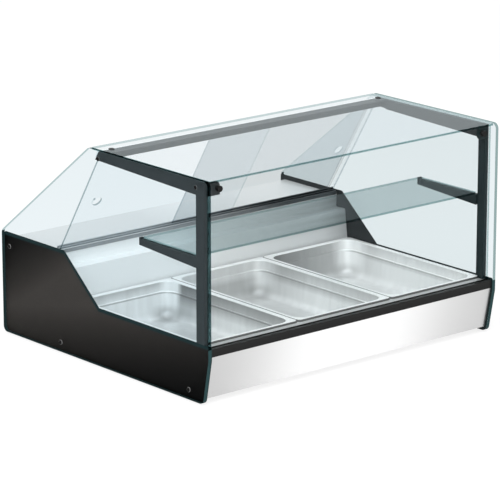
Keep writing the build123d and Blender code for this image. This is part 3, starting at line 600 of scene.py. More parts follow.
class CASE_OT_panes(bpy.types.Operator):
    """Clear glass on the side, top, front, shelf and door panes, with teal cut edges"""

    bl_idname = "case.panes"
    bl_label = "Glass panes"

    def execute(self, context):
        finish = context.scene.case_finish
        edge = cut_edge("pane_edge", finish.pane_edge, finish.far_edge)
        dress_pane("top_glass", UP, clear_glass("top_pane", finish.top_pane), edge)
        dress_pane("shelf_glass", UP, clear_glass("shelf_pane", finish.shelf, SHELF_INDEX), edge)
        dress_pane("front_glass", REAR, clear_glass("clear_pane", finish.pane), edge)
        slant = cut_edge("slant_edge", finish.slant_edge)
        self.side_panes(finish, slant)
        self.doors(finish, slant, context.scene.case_profile.width)
        return {"FINISHED"}

    def side_panes(self, finish, slant):
        """Side panes, whose edges are dark along the end plates and ground beside the front panel."""
        dark = cut_edge("plate_edge", finish.dark_edge)
        ground = plain("toe_edge", finish.toe_edge, GROUND, specular=GROUND_SPECULAR)
        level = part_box("front_rail")[1].z
        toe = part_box("front_panel")[1].z
        for side, tint, near in (
            ("left", finish.left_pane, finish.left_edge),
            ("right", finish.right_pane, finish.right_edge),
        ):
            clear = clear_glass(f"{side}_pane", tint)
            edge = cut_edge(f"{side}_edge", near, finish.far_edge, finish.toe_edge, level)
            slope = slant if side == "right" else edge

            def edge_finish(face):
                if face.center.z < toe and face.normal.y < -SLANTS:
                    return ground
                if face.center.z < toe or face.normal.y > FACES:
                    return dark
                return slope if face.normal.y > LEANS else edge

            dress_pane(f"{side}_side_glass", RIGHT, clear, edge, dark, slope, ground, choose=edge_finish)

    def doors(self, finish, slant, profile_width):
        """Door panes with clear lower edges; the right one has no tint under its end profile."""
        # The right door's tint is darker than the left door's, as painted shade
        for node, tint, edge_tint in (
            ("left_door", finish.left_door, finish.left_door_edge),
            ("right_door", finish.right_door, finish.right_door_edge),
        ):
            bare_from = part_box(node)[1].x - profile_width if node == "right_door" else None
            clear = clear_glass(f"{node}_pane", tint, bare_from=bare_from)
            edge = cut_edge(f"{node}_edge", edge_tint)
            end = slant if node == "left_door" else edge

            def edge_finish(face):
                if face.normal.z < -SLANTS:
                    return clear
                return end if face.normal.x > FACES else edge

            dress_pane(node, door_plane(node), clear, edge, end, choose=edge_finish)


class CASE_OT_black_frame(bpy.types.Operator):
    """Satin black on the end plates, posts, arms, rails, brackets and door tracks"""

    bl_idname = "case.black_frame"
    bl_label = "Black frame"

    # The front rail's painted highlight would reach its lightest tone this far above it
    rail_highlight_reach = 12 * MM

    # From where to where painted shade darkens the front and the upper faces of the door tracks, along X in
    # metres
    track_fade = (-0.15, 0.3)
    track_top_fade = (-0.2, 0.25)

    # The painted sheen on an end plate rises and falls along z + slope * y, from a start to an end, in metres
    painted_sheen_rise = (0.22, -0.11, 0.168)
    painted_sheen_fall = (0.583, 0.319, 0.58)
    painted_sheen_power = 2.2

    # An end plate's teal band fades out between these depths below its upper edge
    band_depths = (7 * MM, 11 * MM)

    # The right end plate's inner face has painted shade at its front, and grows lighter between these
    # distances from the foot of its slope
    inside_shade_fade = (-15 * MM, 5 * MM)

    # Points this close to an end plate's front edge belong to it
    front_reach = 10 * MM

    def execute(self, context):
        finish = context.scene.case_finish
        bar = plain("black_bar", finish.bar, SATIN, specular=0.2, grain=0.02)
        # A darker copy of the bars' coat paints shade on the right post, shelf arm and glass bracket
        shaded = plain("shaded_bar", finish.bar_painted_shade, SATIN, specular=0.15, grain=0.02)
        dress("rear_top_rail", bar)
        for side, _ in SIDES:
            for piece in ("post", "top_arm", "shelf_arm", "glass_bracket"):
                in_shade = side == "right" and piece != "top_arm"
                dress(f"{side}_{piece}", shaded if in_shade else bar)
        low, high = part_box("front_rail")
        # Painted highlight: the front rail grows lighter towards its top
        fade = (low.z, high.z + self.rail_highlight_reach)
        dress("front_rail", painted("front_rail", finish.rail, finish.rail_painted_highlight, Z, *fade))
        dress("glass_clamp_knobs", plain("clamp_knob", finish.rail, 0.35, specular=0.12))
        self.tracks(finish)
        self.end_plates(finish)
        return {"FINISHED"}

    def tracks(self, finish):
        """Aluminium door tracks; the lower track's upper faces are lighter as painted light, and painted
        shade darkens them and the front faces towards the right.
        """
        front = painted("track_face", finish.track, finish.track_painted_shade, X, *self.track_fade)
        lower = painted("lower_track_top", finish.track_top, finish.track_painted_shade, X, *self.track_top_fade)
        upper = plain("upper_track_top", finish.track_pale, 0.4)
        for node, top in (("lower_door_track", lower), ("upper_door_track", upper)):
            dress(node, front, top, choose=lambda face: front if face.normal.y < -FACES else top)

    def end_plates(self, finish):
        """Black end plates with a painted sheen; the right one's inner face has painted shade at its front
        and is lighter towards the rear.
        """
        points = [vertex.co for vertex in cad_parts["left_end_plate"].data.vertices]
        head, front = max(point.z for point in points), min(point.y for point in points)
        foot = max(point.z for point in points if point.y < front + self.front_reach)
        rise_end = min(point.y for point in points if point.z > head - MM)
        rise_start = max(point.y for point in points if abs(point.z - foot) < MM)
        black = self.plate_black(finish, rise_start, foot, rise_end, head)
        rim = plain("plate_rim", finish.plate_rim, 0.5, specular=0.1)
        # Painted shade darkens the front of the right end plate's inner face
        fade = [rise_start + distance for distance in self.inside_shade_fade]
        inside_painted_shade = painted("plate_inside_painted_shade", finish.plate_inside_painted_shade, finish.bar, Y, *fade)
        for (side, sign), inner in zip(SIDES, (black, inside_painted_shade)):

            def face_finish(face):
                outwards = face.normal.x * sign
                if abs(outwards) < FACES:
                    return rim
                return black if outwards > 0 else inner

            dress(f"{side}_end_plate", black, rim, inner, choose=face_finish)
            swell(f"{side}_end_plate", "coat", COAT)

    def plate_black(self, finish, rise_start, foot, rise_end, head):
        """Satin black with a painted sheen, and a teal band along the upper edge, which rises with Y."""
        paint = new_paint("black_plate")
        _, y, z = paint.place()
        # Painted sheen: lighter between a rising and a falling edge
        slope, start, end = self.painted_sheen_rise
        lower = paint.fade(z + y * slope, start, end)
        slope, start, end = self.painted_sheen_fall
        upper = 1.0 - paint.fade(z + y * slope, start, end)
        sheen = lower.at_most(upper) ** self.painted_sheen_power
        depth = paint.fade(y, rise_start, rise_end) * (head - foot) + foot - z
        band = 1.0 - paint.fade(depth, *self.band_depths)
        tone = paint.mix(sheen, finish.plate, finish.painted_sheen_and_control_plate)
        return paint.surface(paint.principled(paint.mix(band, tone, finish.plate_band), 0.5, specular=0.02))


class CASE_OT_steel(bpy.types.Operator):
    """Brushed stainless steel on the base, with painted light and shade, and the front panel with a painted
    highlight
    """

    bl_idname = "case.steel"
    bl_label = "Stainless base"

    # From where to where painted light brightens the rear deck and painted shade darkens the back wall, along
    # X in metres
    deck_fade = (-0.1, 0.3)
    wall_fade = (-0.1, 0.6)

    # The pan deck brightens between these distances from its front, as its painted shade there lifts
    ledge_fade = (-20 * MM, 50 * MM)

    # This far from its middle the front panel's painted highlight is halfway to the darker tone of its ends
    panel_half = 0.31
    panel_power = 4.0

    # Lines of the front panel: their scale along each axis, the least roughness and how much they add
    panel_scale = (6.0, 900.0, 900.0)
    panel_roughness = 0.36
    panel_unevenness = 0.06

    def execute(self, context):
        finish = context.scene.case_finish
        bright, shade = finish.steel, finish.steel_painted_shade
        # The rear sheet is darker near the floor, as painted shade
        low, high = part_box("rear_panel")
        sheet = brushed("rear_sheet", finish.rear_floor_painted_shade, finish.rear_steel, Z, low.z, high.z, metallic=0.7)
        for node in ("rear_panel", "base_tray", "well_tank", "sensor_probe"):
            dress(node, sheet)
        # Painted light and shade: the rear deck brightens and the back wall darkens towards the right, and
        # the pan deck is darker at its front
        dress("rear_deck", brushed("rear_deck_sheet", finish.deck_painted_shade, bright, X, *self.deck_fade))
        wall = brushed("back_wall_sheet", bright, shade, X, *self.wall_fade, metallic=0.2, bands=0.6)
        dress("back_wall", wall)
        fade = [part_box("pan_deck")[0].y + distance for distance in self.ledge_fade]
        dress("pan_deck", brushed("pan_deck_sheet", shade, bright, Y, *fade))
        dress("front_panel", self.front_panel(finish))
        dress("feet", plain("foot_rubber", finish.rubber, 0.8, grain=0.05))
        dress("well_insulation", plain("insulation_board", finish.insulation, 0.95, grain=0.3))
        mat = plain("heating_mat", finish.mat, 0.7)
        for side in ("left", "middle", "right"):
            dress(f"{side}_heating_mat", mat)
        return {"FINISHED"}

    def front_panel(self, finish):
        """Fine brushed sheet with a painted highlight in its middle and painted shade towards its ends."""
        paint = new_paint("front_panel")
        middle = 1.0 / (1.0 + (paint.place()[X] / self.panel_half) ** self.panel_power)
        colour = paint.mix(middle, finish.panel_end_painted_shade, finish.panel_middle_painted_highlight)
        roughness = self.panel_roughness + paint.streaks(self.panel_scale) * self.panel_unevenness
        return paint.surface(paint.principled(colour, roughness, 1.0))


class CASE_OT_pans(bpy.types.Operator):
    """Drawn steel pans with a flat rim, a stacking shoulder and round corners"""

    bl_idname = "case.pans"
    bl_label = "Pans"

    # A face whose middle is less than this below the rim's top is flat rim
    rim_skin = 1.5 * MM

    # An edge belongs to the mouth within the mouth's size times this, and past it to the rim
    mouth_slack = 1.001

    # Tones of the left, middle and right pan, which paint light and shade on their walls and floors: shine is
    # a painted highlight, shade and toe are painted shade; reaches and widths are in millimetres
    tones = {
        "upper": (0.38, 0.61, 0.82),
        "lower": (0.57, 0.65, 0.77),
        "lower_gain": (0.42, 0.35, 0.23),
        "lower_reach": (60, 51, 42),
        "floor": (0.34, 0.44, 0.54),
        "floor_gain": (0.5, 0.36, 0.36),
        "rear": (0.57, 0.76, 0.22),
        "rear_gain": (0.36, -0.2, 0.34),
        "shade": (0.42, 0.3, 0.18),
        "shade_reach": (300, 250, 200),
        "shine": (1.0, 0.45, 1.0),
        "shine_width": (20, 50, 50),
        "toe": (0.45, 0.39, 0.33),
    }
    upper_gain = 0.22

    # Distances from a pan's right or rear edge, in millimetres, between which walls and corners begin
    wall = (40, 20)
    corner = (90, 50)

    # Millimetres from the right and from the rear at which the painted highlight is full, and the right
    # wall's painted shade
    shine_right = 28
    shine_rear = 50
    shade_full = 100

    # The floor's tone, painted light and shade, changes between these distances from a pan's left and right
    # edges
    floor_left = 20 * MM
    floor_right = 60 * MM

    # Half the width of the painted shade in the crease at the shoulder, and its depth of tone
    crease_half = 3 * MM
    crease_shade_tone = 0.45

    # The painted shade in the toe of the rear right corner fades out between these heights above a pan's
    # underside
    toe_shade_heights = (10 * MM, 40 * MM)

    # Draw lines: their scale along each axis, noise detail, least tone and how much they add
    line_scale = (60.0, 60.0, 9.0)
    line_detail = 5.0
    line_tone = 0.87
    line_gain = 0.26

    # Metallic share of the floor, and how much less of it the walls have
    metal = 0.6
    metal_loss = 0.4

    def execute(self, context):
        finish, sizes = context.scene.case_finish, context.scene.case_pans
        pattern = self.draw_pan(sizes)
        # Near-white rims paint the highlight of polished steel
        rim = plain("pan_rim_painted_highlight", finish.pan_rim_painted_highlight, 0.3, metallic=0.2)
        # Dark lips paint the shade in the gaps between the pans
        lip = plain("pan_lip_painted_shade", finish.pan_lip_painted_shade, 0.4, metallic=0.6)
        middle = sum(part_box(PANS[1]), Vector()) / 2
        for node in PANS:
            low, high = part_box(node)
            mesh = pattern.data.copy()
            mesh.transform(Matrix.Translation((low + high) / 2 - middle))
            pan = bpy.data.objects.new(f"drawn_{node}", mesh)
            context.scene.collection.objects.link(pan)
            steel = self.pan_steel(node, finish, sizes)

            def face_finish(face):
                if self.inside_rim(face.center, low, high, sizes.rim_corner) < sizes.edge:
                    return lip
                return rim if face.center.z > high.z - self.rim_skin else steel

            cover(mesh, (steel, rim, lip), face_finish)
            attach(pan, node)
            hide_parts(node)
        bpy.data.objects.remove(pattern)
        return {"FINISHED"}

    def inside_rim(self, place, low, high, corner):
        """How far a place lies inside the rim's round-cornered outline."""
        middle, half = (low + high) / 2, (high - low) / 2
        x = abs(place.x - middle.x) - half.x + corner
        y = abs(place.y - middle.y) - half.y + corner
        return corner - math.hypot(max(x, 0.0), max(y, 0.0)) - min(max(x, y), 0.0)

    def draw_pan(self, sizes):
        """The middle pan: two round-cornered loops bridged to a rim, then drawn down to the floor."""
        low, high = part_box(PANS[1])
        centre = (low + high) / 2
        rim = Vector((centre.x, centre.y, high.z))
        outer = [high.x - low.x - 2 * sizes.edge, high.y - low.y - 2 * sizes.edge]
        size = [side - 2 * (sizes.flange - sizes.edge) for side in outer]
        deselect()
        bpy.ops.mesh.primitive_plane_add(size=1.0, location=rim)
        pan = bpy.context.object
        apply_place()
        bpy.ops.object.mode_set(mode="EDIT")
        self.round_loop(rim, outer, sizes.rim_corner - sizes.edge)
        bpy.ops.mesh.primitive_plane_add(size=1.0, location=rim)
        self.round_loop(rim, size, sizes.mouth_corner)
        bpy.ops.mesh.select_all(action="SELECT")
        bpy.ops.mesh.bridge_edge_loops()
        reach = Vector(size) / 2 * self.mouth_slack
        self.select_loop(pan, centre, reach, outside=True)
        self.draw_round(rim, outer, sizes.edge, (0, 45, 90), -1)
        self.draw_down(rim, outer, 0.0, sizes.lip - sizes.edge)
        self.select_loop(pan, centre, reach, outside=False)
        self.draw_round(rim, size, sizes.rim_round, (0, 30, 60, 90))
        self.draw_down(rim, size, 0.0, sizes.shoulder_drop - 2 * sizes.rim_round)
        self.draw_round(rim, size, sizes.shoulder_step / 2, (90, 60, 30, 0, 30, 60, 90))
        depth = high.z - low.z - sizes.shoulder_drop - sizes.shoulder_step + sizes.rim_round
        self.draw_down(rim, size, sizes.draft, depth - sizes.floor_round - sizes.sheet)
        self.draw_round(rim, size, sizes.floor_round, (90, 75, 60, 45, 30, 15, 0))
        bpy.ops.mesh.edge_face_add()
        bpy.ops.mesh.select_all(action="SELECT")
        bpy.ops.mesh.normals_make_consistent(inside=False)
        bpy.ops.object.mode_set(mode="OBJECT")
        thicken(pan, sizes.sheet, 1.0)
        bpy.ops.object.shade_smooth_by_angle(angle=math.radians(25))
        return pan

    def round_loop(self, rim, size, corner):
        """Size the selected plane, round its corners and leave only its edges."""
        bpy.ops.transform.resize(value=(*size, 1.0), center_override=rim)
        bpy.ops.mesh.bevel(offset=corner, segments=10, affect="VERTICES")
        bpy.ops.mesh.select_all(action="SELECT")
        bpy.ops.mesh.delete(type="ONLY_FACE")

    def select_loop(self, pan, centre, reach, outside):
        """In edit mode, select the rim's outer edge loop or the mouth's edge loop."""
        bpy.ops.mesh.select_mode(type="EDGE")
        bpy.ops.mesh.select_all(action="DESELECT")
        bpy.ops.object.mode_set(mode="OBJECT")
        points = pan.data.vertices
        for edge in pan.data.edges:
            ends = [points[i].co - centre for i in edge.vertices]
            beyond = [abs(end.x) > reach.x or abs(end.y) > reach.y for end in ends]
            edge.select = all(beyond) if outside else not any(beyond)
        bpy.ops.object.mode_set(mode="EDIT")

    def draw_down(self, rim, size, inset, drop):
        """Extrude the selected loop down and draw it in by an inset on each side."""
        bpy.ops.mesh.extrude_edges_move(TRANSFORM_OT_translate={"value": (0, 0, -drop)})
        grown = [side - 2 * inset for side in size]
        bpy.ops.transform.resize(value=(grown[0] / size[0], grown[1] / size[1], 1.0), center_override=rim)
        size[:] = grown

    def draw_round(self, rim, size, radius, slopes, inwards=1):
        """Draw a round from slope to slope, in degrees below level."""
        turns = [math.radians(slope) for slope in slopes]
        for first, last in zip(turns, turns[1:]):
            inset = inwards * radius * abs(math.sin(last) - math.sin(first))
            drop = radius * abs(math.cos(last) - math.cos(first))
            self.draw_down(rim, size, inset, drop)

    def pan_steel(self, node, finish, sizes):
        """Brushed steel of one pan: painted light and shade on its floor and walls, and a painted highlight
        in its rear right corner.
        """
        row = PANS.index(node)
        tones = {name: values[row] for name, values in self.tones.items()}
        low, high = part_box(node)
        paint = new_paint(f"{node}_steel")
        x, y, z = paint.place()

        def from_right(far, near):
            return paint.fade(x, high.x - far * MM, high.x - near * MM)

        def from_rear(far, near):
            return paint.fade(y, high.y - far * MM, high.y - near * MM)

        crease = high.z - sizes.shoulder_drop - sizes.rim_round
        below = crease - sizes.shoulder_step
        right, rear = from_right(*self.wall), from_rear(*self.wall)
        walls = right.at_least(rear) if row == 0 else right
        below_rim = 1.0 - paint.fade(z, high.z - sizes.shoulder_drop, high.z - sizes.rim_round)
        below_shoulder = 1.0 - paint.fade(z, high.z - tones["lower_reach"] * MM, below)
        across = paint.fade(x, low.x + self.floor_left, high.x - self.floor_right)
        # Painted light and shade: the walls grow lighter downwards from the rim and from the shoulder, and
        # the rear wall and the floor take their own tones
        upper = below_rim * self.upper_gain + tones["upper"]
        lower = below_shoulder * tones["lower_gain"] + tones["lower"]
        right_tone = lower + (upper - lower) * paint.fade(z, below, crease)
        rear_tone = (below_rim, below_shoulder, across)[row] * tones["rear_gain"] + tones["rear"]
        tone = across * tones["floor_gain"] + tones["floor"]
        tone = tone + (right_tone - tone) * right
        tone = tone + (rear_tone - tone) * rear
        # Painted shade on the right wall towards the rear
        tone = tone * (1.0 - from_rear(tones["shade_reach"], self.shade_full) * right * tones["shade"])
        # Painted highlight in the rear right corner
        shine_x = from_right(self.shine_right + tones["shine_width"], self.shine_right)
        shine_y = from_rear(self.shine_rear + tones["shine_width"], self.shine_rear)
        tone = tone + (1.0 - tone) * shine_x.at_most(shine_y) * tones["shine"]
        # Painted shade in the crease of the shoulder
        step = (z - crease) / self.crease_half
        crease_shade = (1.0 - step * step).at_least(0.0) * walls * self.crease_shade_tone
        # Painted shade in the toe of the rear right corner
        nook = from_right(*self.corner) * from_rear(*self.corner)
        toe_start, toe_end = self.toe_shade_heights
        toe = (1.0 - paint.fade(z, low.z + toe_start, low.z + toe_end)) * nook * tones["toe"]
        lines = paint.streaks(self.line_scale, self.line_detail) * self.line_gain + self.line_tone
        tone = tone * (1.0 - crease_shade) * (1.0 - toe) * lines
        colour = paint.mix(tone, BLACK, finish.pan_steel)
        return paint.surface(paint.principled(colour, SATIN, self.metal - walls * self.metal_loss))


class CASE_OT_end_profile(bpy.types.Operator):
    """Clear end profile of the right door"""

    bl_idname = "case.end_profile"
    bl_label = "Door end profile"

    def execute(self, context):
        sizes, finish = context.scene.case_profile, context.scene.case_finish
        across = door_plane("right_door")
        across = across if across.y < 0 else -across
        rise = RIGHT.cross(across)
        rise = rise if rise.z > 0 else -rise
        points = [vertex.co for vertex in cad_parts["right_door"].data.vertices]
        depths = [point.dot(across) for point in points]
        heights = [point.dot(rise) for point in points]
        low, high = min(heights) + sizes.clearance, max(heights) - sizes.clearance
        depth = max(depths) - min(depths) + 2 * (sizes.wall + sizes.play)
        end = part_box("right_door")[1].x + sizes.play + sizes.wall
        place = rise * (low + high) / 2 + across * (max(depths) + min(depths)) / 2
        place.x = end - sizes.width / 2
        matrix = Matrix.Translation(place) @ turned(RIGHT, rise.cross(RIGHT), rise)
        pieces = placed(self.channel(sizes, depth, high - low), [matrix])
        clear = clear_glass("profile_plastic", finish.profile)
        # A darker lip paints a shadow line along the profile's open side
        lip = cut_edge("profile_lip_painted_shade", finish.profile_lip_painted_shade)
        lip_end = end - sizes.width + sizes.lip

        def face_finish(face):
            return lip if face.center.x < lip_end else clear

        joined("door_end_profile", pieces, clear, lip, body="right_door", choose=face_finish)
        return {"FINISHED"}

    def channel(self, sizes, depth, length):
        """A thin channel round the origin, open towards -X and at both ends."""
        deselect()
        bpy.ops.mesh.primitive_cube_add(size=1.0)
        channel = bpy.context.object
        channel.scale = (sizes.width, depth, length)
        apply_place()
        bpy.ops.object.mode_set(mode="EDIT")
        select_faces(channel, lambda face: face.normal.x < -FACES or abs(face.normal.z) > FACES)
        bpy.ops.mesh.delete(type="FACE")
        bpy.ops.mesh.select_all(action="SELECT")
        bpy.ops.mesh.normals_make_consistent(inside=False)
        bpy.ops.mesh.bisect(plane_co=(sizes.lip - sizes.width / 2, 0, 0), plane_no=(1, 0, 0))
        bpy.ops.object.mode_set(mode="OBJECT")
        thicken(channel, sizes.wall, -1.0)
        return channel


class CASE_OT_controls(bpy.types.Operator):
    """Plastic controls on the operator's side and the printed marks of the dial"""

    bl_idname = "case.controls"
    bl_label = "Controls"

    # Turns of the dial's ticks and the words at some of them, in degrees clockwise from the top
    tick_turns = range(0, 271, 30)
    words = (("0", 0), ("30", 90), ("60", 180), ("90", 270))

    # How much wider a tick is at its outer end, and a word's distance from it as a share of its height
    tick_flare = 1.6
    word_gap = 0.75

    def execute(self, context):
        finish = context.scene.case_finish
        plastic = plain("black_plastic", finish.plastic, 0.45, grain=0.03)
        moulded = ("thermostat_body", "thermostat_knob", "switch_housing", "switch_rocker")
        for node in (*moulded, "cable_gland", "safety_cutout"):
            dress(node, plastic)
        # The control plate's own dark colour, the same one as the end plates' painted sheen
        dress("control_plate", plain("control_plate", finish.painted_sheen_and_control_plate, 0.4))
        dress("terminal_block", plain("terminal_plastic", finish.terminal, 0.5))
        dress("pilot_lamp", plain("lamp_lens", finish.lamp, 0.15, coat=0.5))
        self.marks(context.scene.case_marks, plain("printed_marks", finish.marks, 0.5))
        return {"FINISHED"}

    def marks(self, sizes, print_finish):
        """Ticks and numbers round the knob, the switch's two signs and the knob's pointer."""
        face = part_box("control_plate")[1].y
        low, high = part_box("thermostat_knob")
        centre = (low + high) / 2
        radius = high.x - centre.x
        top = Vector((centre.x, high.y, centre.z))
        centre.y = face
        around = radius + sizes.gap
        turns = [math.radians(turn) for turn in self.tick_turns]
        ticks = [self.upright(centre, turn, around + sizes.tick / 2) for turn in turns]
        pieces = placed(self.tick(sizes.stroke, sizes.tick, sizes.film), ticks)
        away = around + sizes.tick + sizes.letter * self.word_gap
        for word, turn in self.words:
            pieces += self.lettering(word, sizes, centre + self.outwards(math.radians(turn)) * away)
        low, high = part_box("switch_housing")
        middle = (low.x + high.x) / 2
        for word, height in (("I", high.z + sizes.letter), ("O", low.z - sizes.letter)):
            pieces += self.lettering(word, sizes, Vector((middle, face, height)))
        joined("dial_marks", pieces, print_finish)
        pointer = self.tick(sizes.pointer_stroke, sizes.pointer, sizes.film)
        pieces = placed(pointer, [self.upright(top, 0.0, radius - sizes.pointer_inset)])
        joined("knob_pointer", pieces, print_finish, body="thermostat_knob")

    def outwards(self, turn):
        """Direction on the rear face at a clockwise turn from the top."""
        return Vector((-math.sin(turn), 0.0, math.cos(turn)))

    def upright(self, centre, turn, distance):
        """Matrix that lays a mark on the rear face, at a distance from a centre and pointing away from it."""
        along = self.outwards(turn)
        return Matrix.Translation(centre + along * distance) @ turned(along.cross(REAR), along, REAR)

    def tick(self, width, length, height):
        """A flat tick on z = 0 along Y, wider at its outer end."""
        deselect()
        bpy.ops.mesh.primitive_cube_add(size=1.0, location=(0, 0, height / 2))
        tick = bpy.context.object
        tick.name = "tick"
        tick.scale = (width, length, height)
        apply_place()
        bpy.ops.object.mode_set(mode="EDIT")
        select_faces(tick, lambda face: face.normal.y > FACES)
        outer_end = (0, length / 2, height / 2)
        bpy.ops.transform.resize(value=(self.tick_flare, 1.0, 1.0), center_override=outer_end)
        bpy.ops.object.mode_set(mode="OBJECT")
        return tick

    def lettering(self, word, sizes, place):
        """Thin lettering at a place on the rear face, level and readable from behind."""
        deselect()
        bpy.ops.object.text_add()
        letters = bpy.context.object
        letters.data.body = word
        letters.data.size = sizes.letter
        letters.data.align_x = "CENTER"
        letters.data.align_y = "CENTER"
        letters.data.extrude = sizes.film
        bpy.ops.object.convert(target="MESH")
        return placed(bpy.context.object, [self.upright(place, 0.0, 0.0)])


class CASE_OT_screws(bpy.types.Operator):
    """Screw caps on the side glass, the top glass and the rear panel"""

    bl_idname = "case.screws"
    bl_label = "Screws"

    # Width of a cap's ring as a share of its radius, on the sides and elsewhere
    side_ring = 0.22
    ring = 0.42

    # A side cap has painted shade, dark over its socket, within this share of its radius
    socket_shade_share = 0.8

    def execute(self, context):
        sizes, finish = context.scene.case_screws, context.scene.case_finish
        self.side_caps(sizes, finish)
        rail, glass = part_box("rear_top_rail")[1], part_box("top_glass")[1]
        y = rail.y - sizes.top_inset
        matrices = [facing((sign * sizes.top_spread, y, glass.z), UP) for _, sign in SIDES]
        cap = screw_cap("top_glass_screws", sizes.top_radius, sizes.cap_height, self.ring)
        joined("top_glass_screws", placed(cap, matrices), plain("screw_cap", finish.rail, 0.4))
        low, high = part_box("rear_panel")
        matrices = [
            facing((x, high.y, z), REAR)
            for x in (low.x + sizes.panel_inset, 0.0, high.x - sizes.panel_inset)
            for z in (low.z + sizes.panel_inset, (low.z + high.z) / 2)
        ]
        cap = screw_cap("rear_panel_screws", sizes.panel_radius, sizes.cap_height, self.ring)
        bright = plain("panel_screw", finish.steel, 0.3, metallic=1.0)
        joined("rear_panel_screws", placed(cap, matrices), bright)
        return {"FINISHED"}

    def side_caps(self, sizes, finish):
        """Caps of the screws into the end plates, and duller ones of those into the posts and arms, with
        painted shade over their sockets.
        """
        pale = plain("side_screw", finish.screw, 0.4)
        dull = plain("frame_screw", finish.frame_screw, 0.4)
        # Painted shade over the sockets of the caps
        socket_shade = plain("screw_hollow", finish.rail, 0.6, specular=0.03)
        low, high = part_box("right_side_glass")
        foot = low.z + sizes.foot_rise
        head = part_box("right_end_plate")[1].z - sizes.head_drop
        post_low, post_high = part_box("right_post")
        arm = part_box("right_top_arm")[1]
        plate_places = (
            (low.y + sizes.front_inset, foot),
            (low.y + sizes.middle_inset, foot),
            (high.y - sizes.rear_inset, head),
        )
        frame_places = (
            (post_low.y + sizes.post_inset, post_high.z - sizes.post_drop),
            (arm.y - sizes.arm_inset, arm.z - sizes.arm_drop),
        )
        for name, places, radius, rim in (
            ("side_screws", plate_places, sizes.side_radius, pale),
            ("frame_screws", frame_places, sizes.frame_radius, dull),
        ):

            def face_finish(face):
                away = min(math.hypot(face.center.y - y, face.center.z - z) for y, z in places)
                return socket_shade if away < radius * self.socket_shade_share else rim

            matrices = [
                facing((sign * high.x, y, z), RIGHT * sign) for _, sign in SIDES for y, z in places
            ]
            cap = screw_cap(name, radius, sizes.cap_height, self.side_ring)
            joined(name, placed(cap, matrices), rim, socket_shade, choose=face_finish)


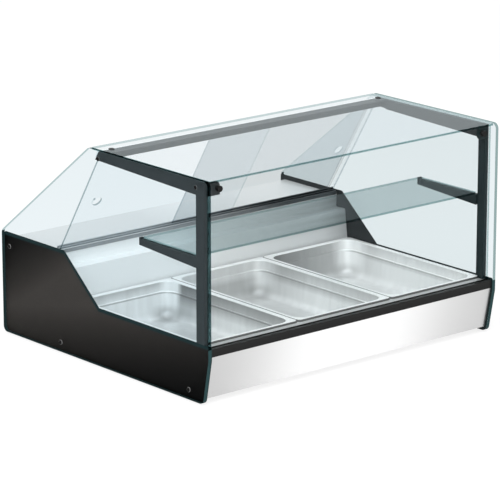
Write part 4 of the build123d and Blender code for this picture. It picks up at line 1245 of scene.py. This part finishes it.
class CASE_OT_stage(bpy.types.Operator):
    """White floor, soft light and the camera"""

    bl_idname = "case.stage"
    bl_label = "Studio"

    # The floor's grey as light from it reaches the case, and its darker grey and glow as it is seen
    floor_grey = (0.8, 0.8, 0.8)
    floor_shade = (0.2, 0.2, 0.2)
    floor_glow = 0.8

    def execute(self, context):
        scene = context.scene
        stage = scene.case_stage
        scene.view_settings.view_transform = "Standard"
        scene.cycles.transparent_max_bounces = 40
        self.floor(stage)
        self.world(scene, stage)
        self.lamp(scene, "key_light", stage.key_place, stage.key_width, stage.key_power)
        self.lamp(scene, "fill_light", stage.fill_place, stage.fill_width, stage.fill_power)
        self.camera(scene, stage)
        return {"FINISHED"}

    def seen(self, paint):
        """1 where the camera, a reflection or clear glass looks, else 0."""
        path = paint.node("ShaderNodeLightPath").outputs
        camera = Value(paint, path["Is Camera Ray"])
        return (camera + path["Is Glossy Ray"] + path["Is Transmission Ray"]).at_most(1.0)

    def floor(self, stage):
        """A large floor that looks white and keeps the case's shadow."""
        deselect()
        bpy.ops.mesh.primitive_plane_add(size=stage.floor_width, location=(0, 0, 0))
        floor = bpy.context.object
        floor.name = "floor"
        paint = new_paint("white_floor")
        matte = paint.node("ShaderNodeBsdfDiffuse", inputs={"Color": self.floor_grey})
        shade = paint.node("ShaderNodeBsdfDiffuse", inputs={"Color": self.floor_shade})
        glow = paint.node("ShaderNodeEmission", inputs={"Color": WHITE, "Strength": self.floor_glow})
        both = paint.node("ShaderNodeAddShader", inputs={0: shade, 1: glow})
        floor.data.materials.append(paint.surface(paint.blend(self.seen(paint), matte, both)))

    def world(self, scene, stage):
        """Even light, and a white background for what is seen."""
        paint = Paint(bpy.data.worlds.new("studio"))
        even = paint.node("ShaderNodeBackground", inputs={"Color": WHITE, "Strength": stage.ambient})
        white = paint.node("ShaderNodeBackground", inputs={"Color": WHITE, "Strength": 1.0})
        mixed = paint.blend(self.seen(paint), even, white)
        scene.world = paint.surface(mixed, "ShaderNodeOutputWorld")

    def lamp(self, scene, name, place, width, power):
        """A square soft lamp that points at what the camera looks at."""
        lamp = bpy.data.lights.new(name, "AREA")
        lamp.size = width
        lamp.energy = power
        light = bpy.data.objects.new(name, lamp)
        light.location = place
        aim = Vector(scene.case_stage.view_target) - Vector(place)
        light.rotation_euler = aim.to_track_quat("-Z", "Y").to_euler()
        scene.collection.objects.link(light)

    def camera(self, scene, stage):
        """The camera at the photograph's viewing angle."""
        data = bpy.data.cameras.new("camera")
        data.sensor_width = 36.0
        data.lens = stage.lens
        camera = bpy.data.objects.new("camera", data)
        level = math.cos(stage.view_rise)
        forward = Vector(
            (
                math.sin(stage.view_turn) * level,
                math.cos(stage.view_turn) * level,
                -math.sin(stage.view_rise),
            )
        )
        camera.location = Vector(stage.view_target) - forward * stage.view_distance
        camera.rotation_euler = forward.to_track_quat("-Z", "Y").to_euler()
        scene.collection.objects.link(camera)
        scene.camera = camera


class CASE_PT_panel(bpy.types.Panel):
    """Lists the case's pieces and its studio"""

    bl_label = "Display case"
    bl_idname = "CASE_PT_panel"
    bl_space_type = "VIEW_3D"
    bl_region_type = "UI"
    bl_category = "Display case"

    def draw(self, context):
        for operator in OPERATORS:
            self.layout.operator(operator.bl_idname)


SETTINGS = (
    ("case_finish", FinishSettings),
    ("case_pans", PanSettings),
    ("case_profile", ProfileSettings),
    ("case_marks", MarkSettings),
    ("case_screws", ScrewSettings),
    ("case_stage", StageSettings),
)
OPERATORS = (
    CASE_OT_panes,
    CASE_OT_black_frame,
    CASE_OT_steel,
    CASE_OT_pans,
    CASE_OT_end_profile,
    CASE_OT_controls,
    CASE_OT_screws,
    CASE_OT_stage,
)


def register():
    """Add the settings, operators and panel."""
    for name, group in SETTINGS:
        bpy.utils.register_class(group)
        setattr(bpy.types.Scene, name, bpy.props.PointerProperty(type=group))
    for operator in OPERATORS:
        bpy.utils.register_class(operator)
    bpy.utils.register_class(CASE_PT_panel)


def unregister():
    """Take them out again."""
    bpy.utils.unregister_class(CASE_PT_panel)
    for operator in reversed(OPERATORS):
        bpy.utils.unregister_class(operator)
    for name, group in reversed(SETTINGS):
        delattr(bpy.types.Scene, name)
        bpy.utils.unregister_class(group)


def main():
    """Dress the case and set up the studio."""
    register()
    bpy.ops.case.panes()
    bpy.ops.case.black_frame()
    bpy.ops.case.steel()
    bpy.ops.case.pans()
    bpy.ops.case.end_profile()
    bpy.ops.case.controls()
    bpy.ops.case.screws()
    bpy.ops.case.stage()


if __name__ == "__main__":
    main()
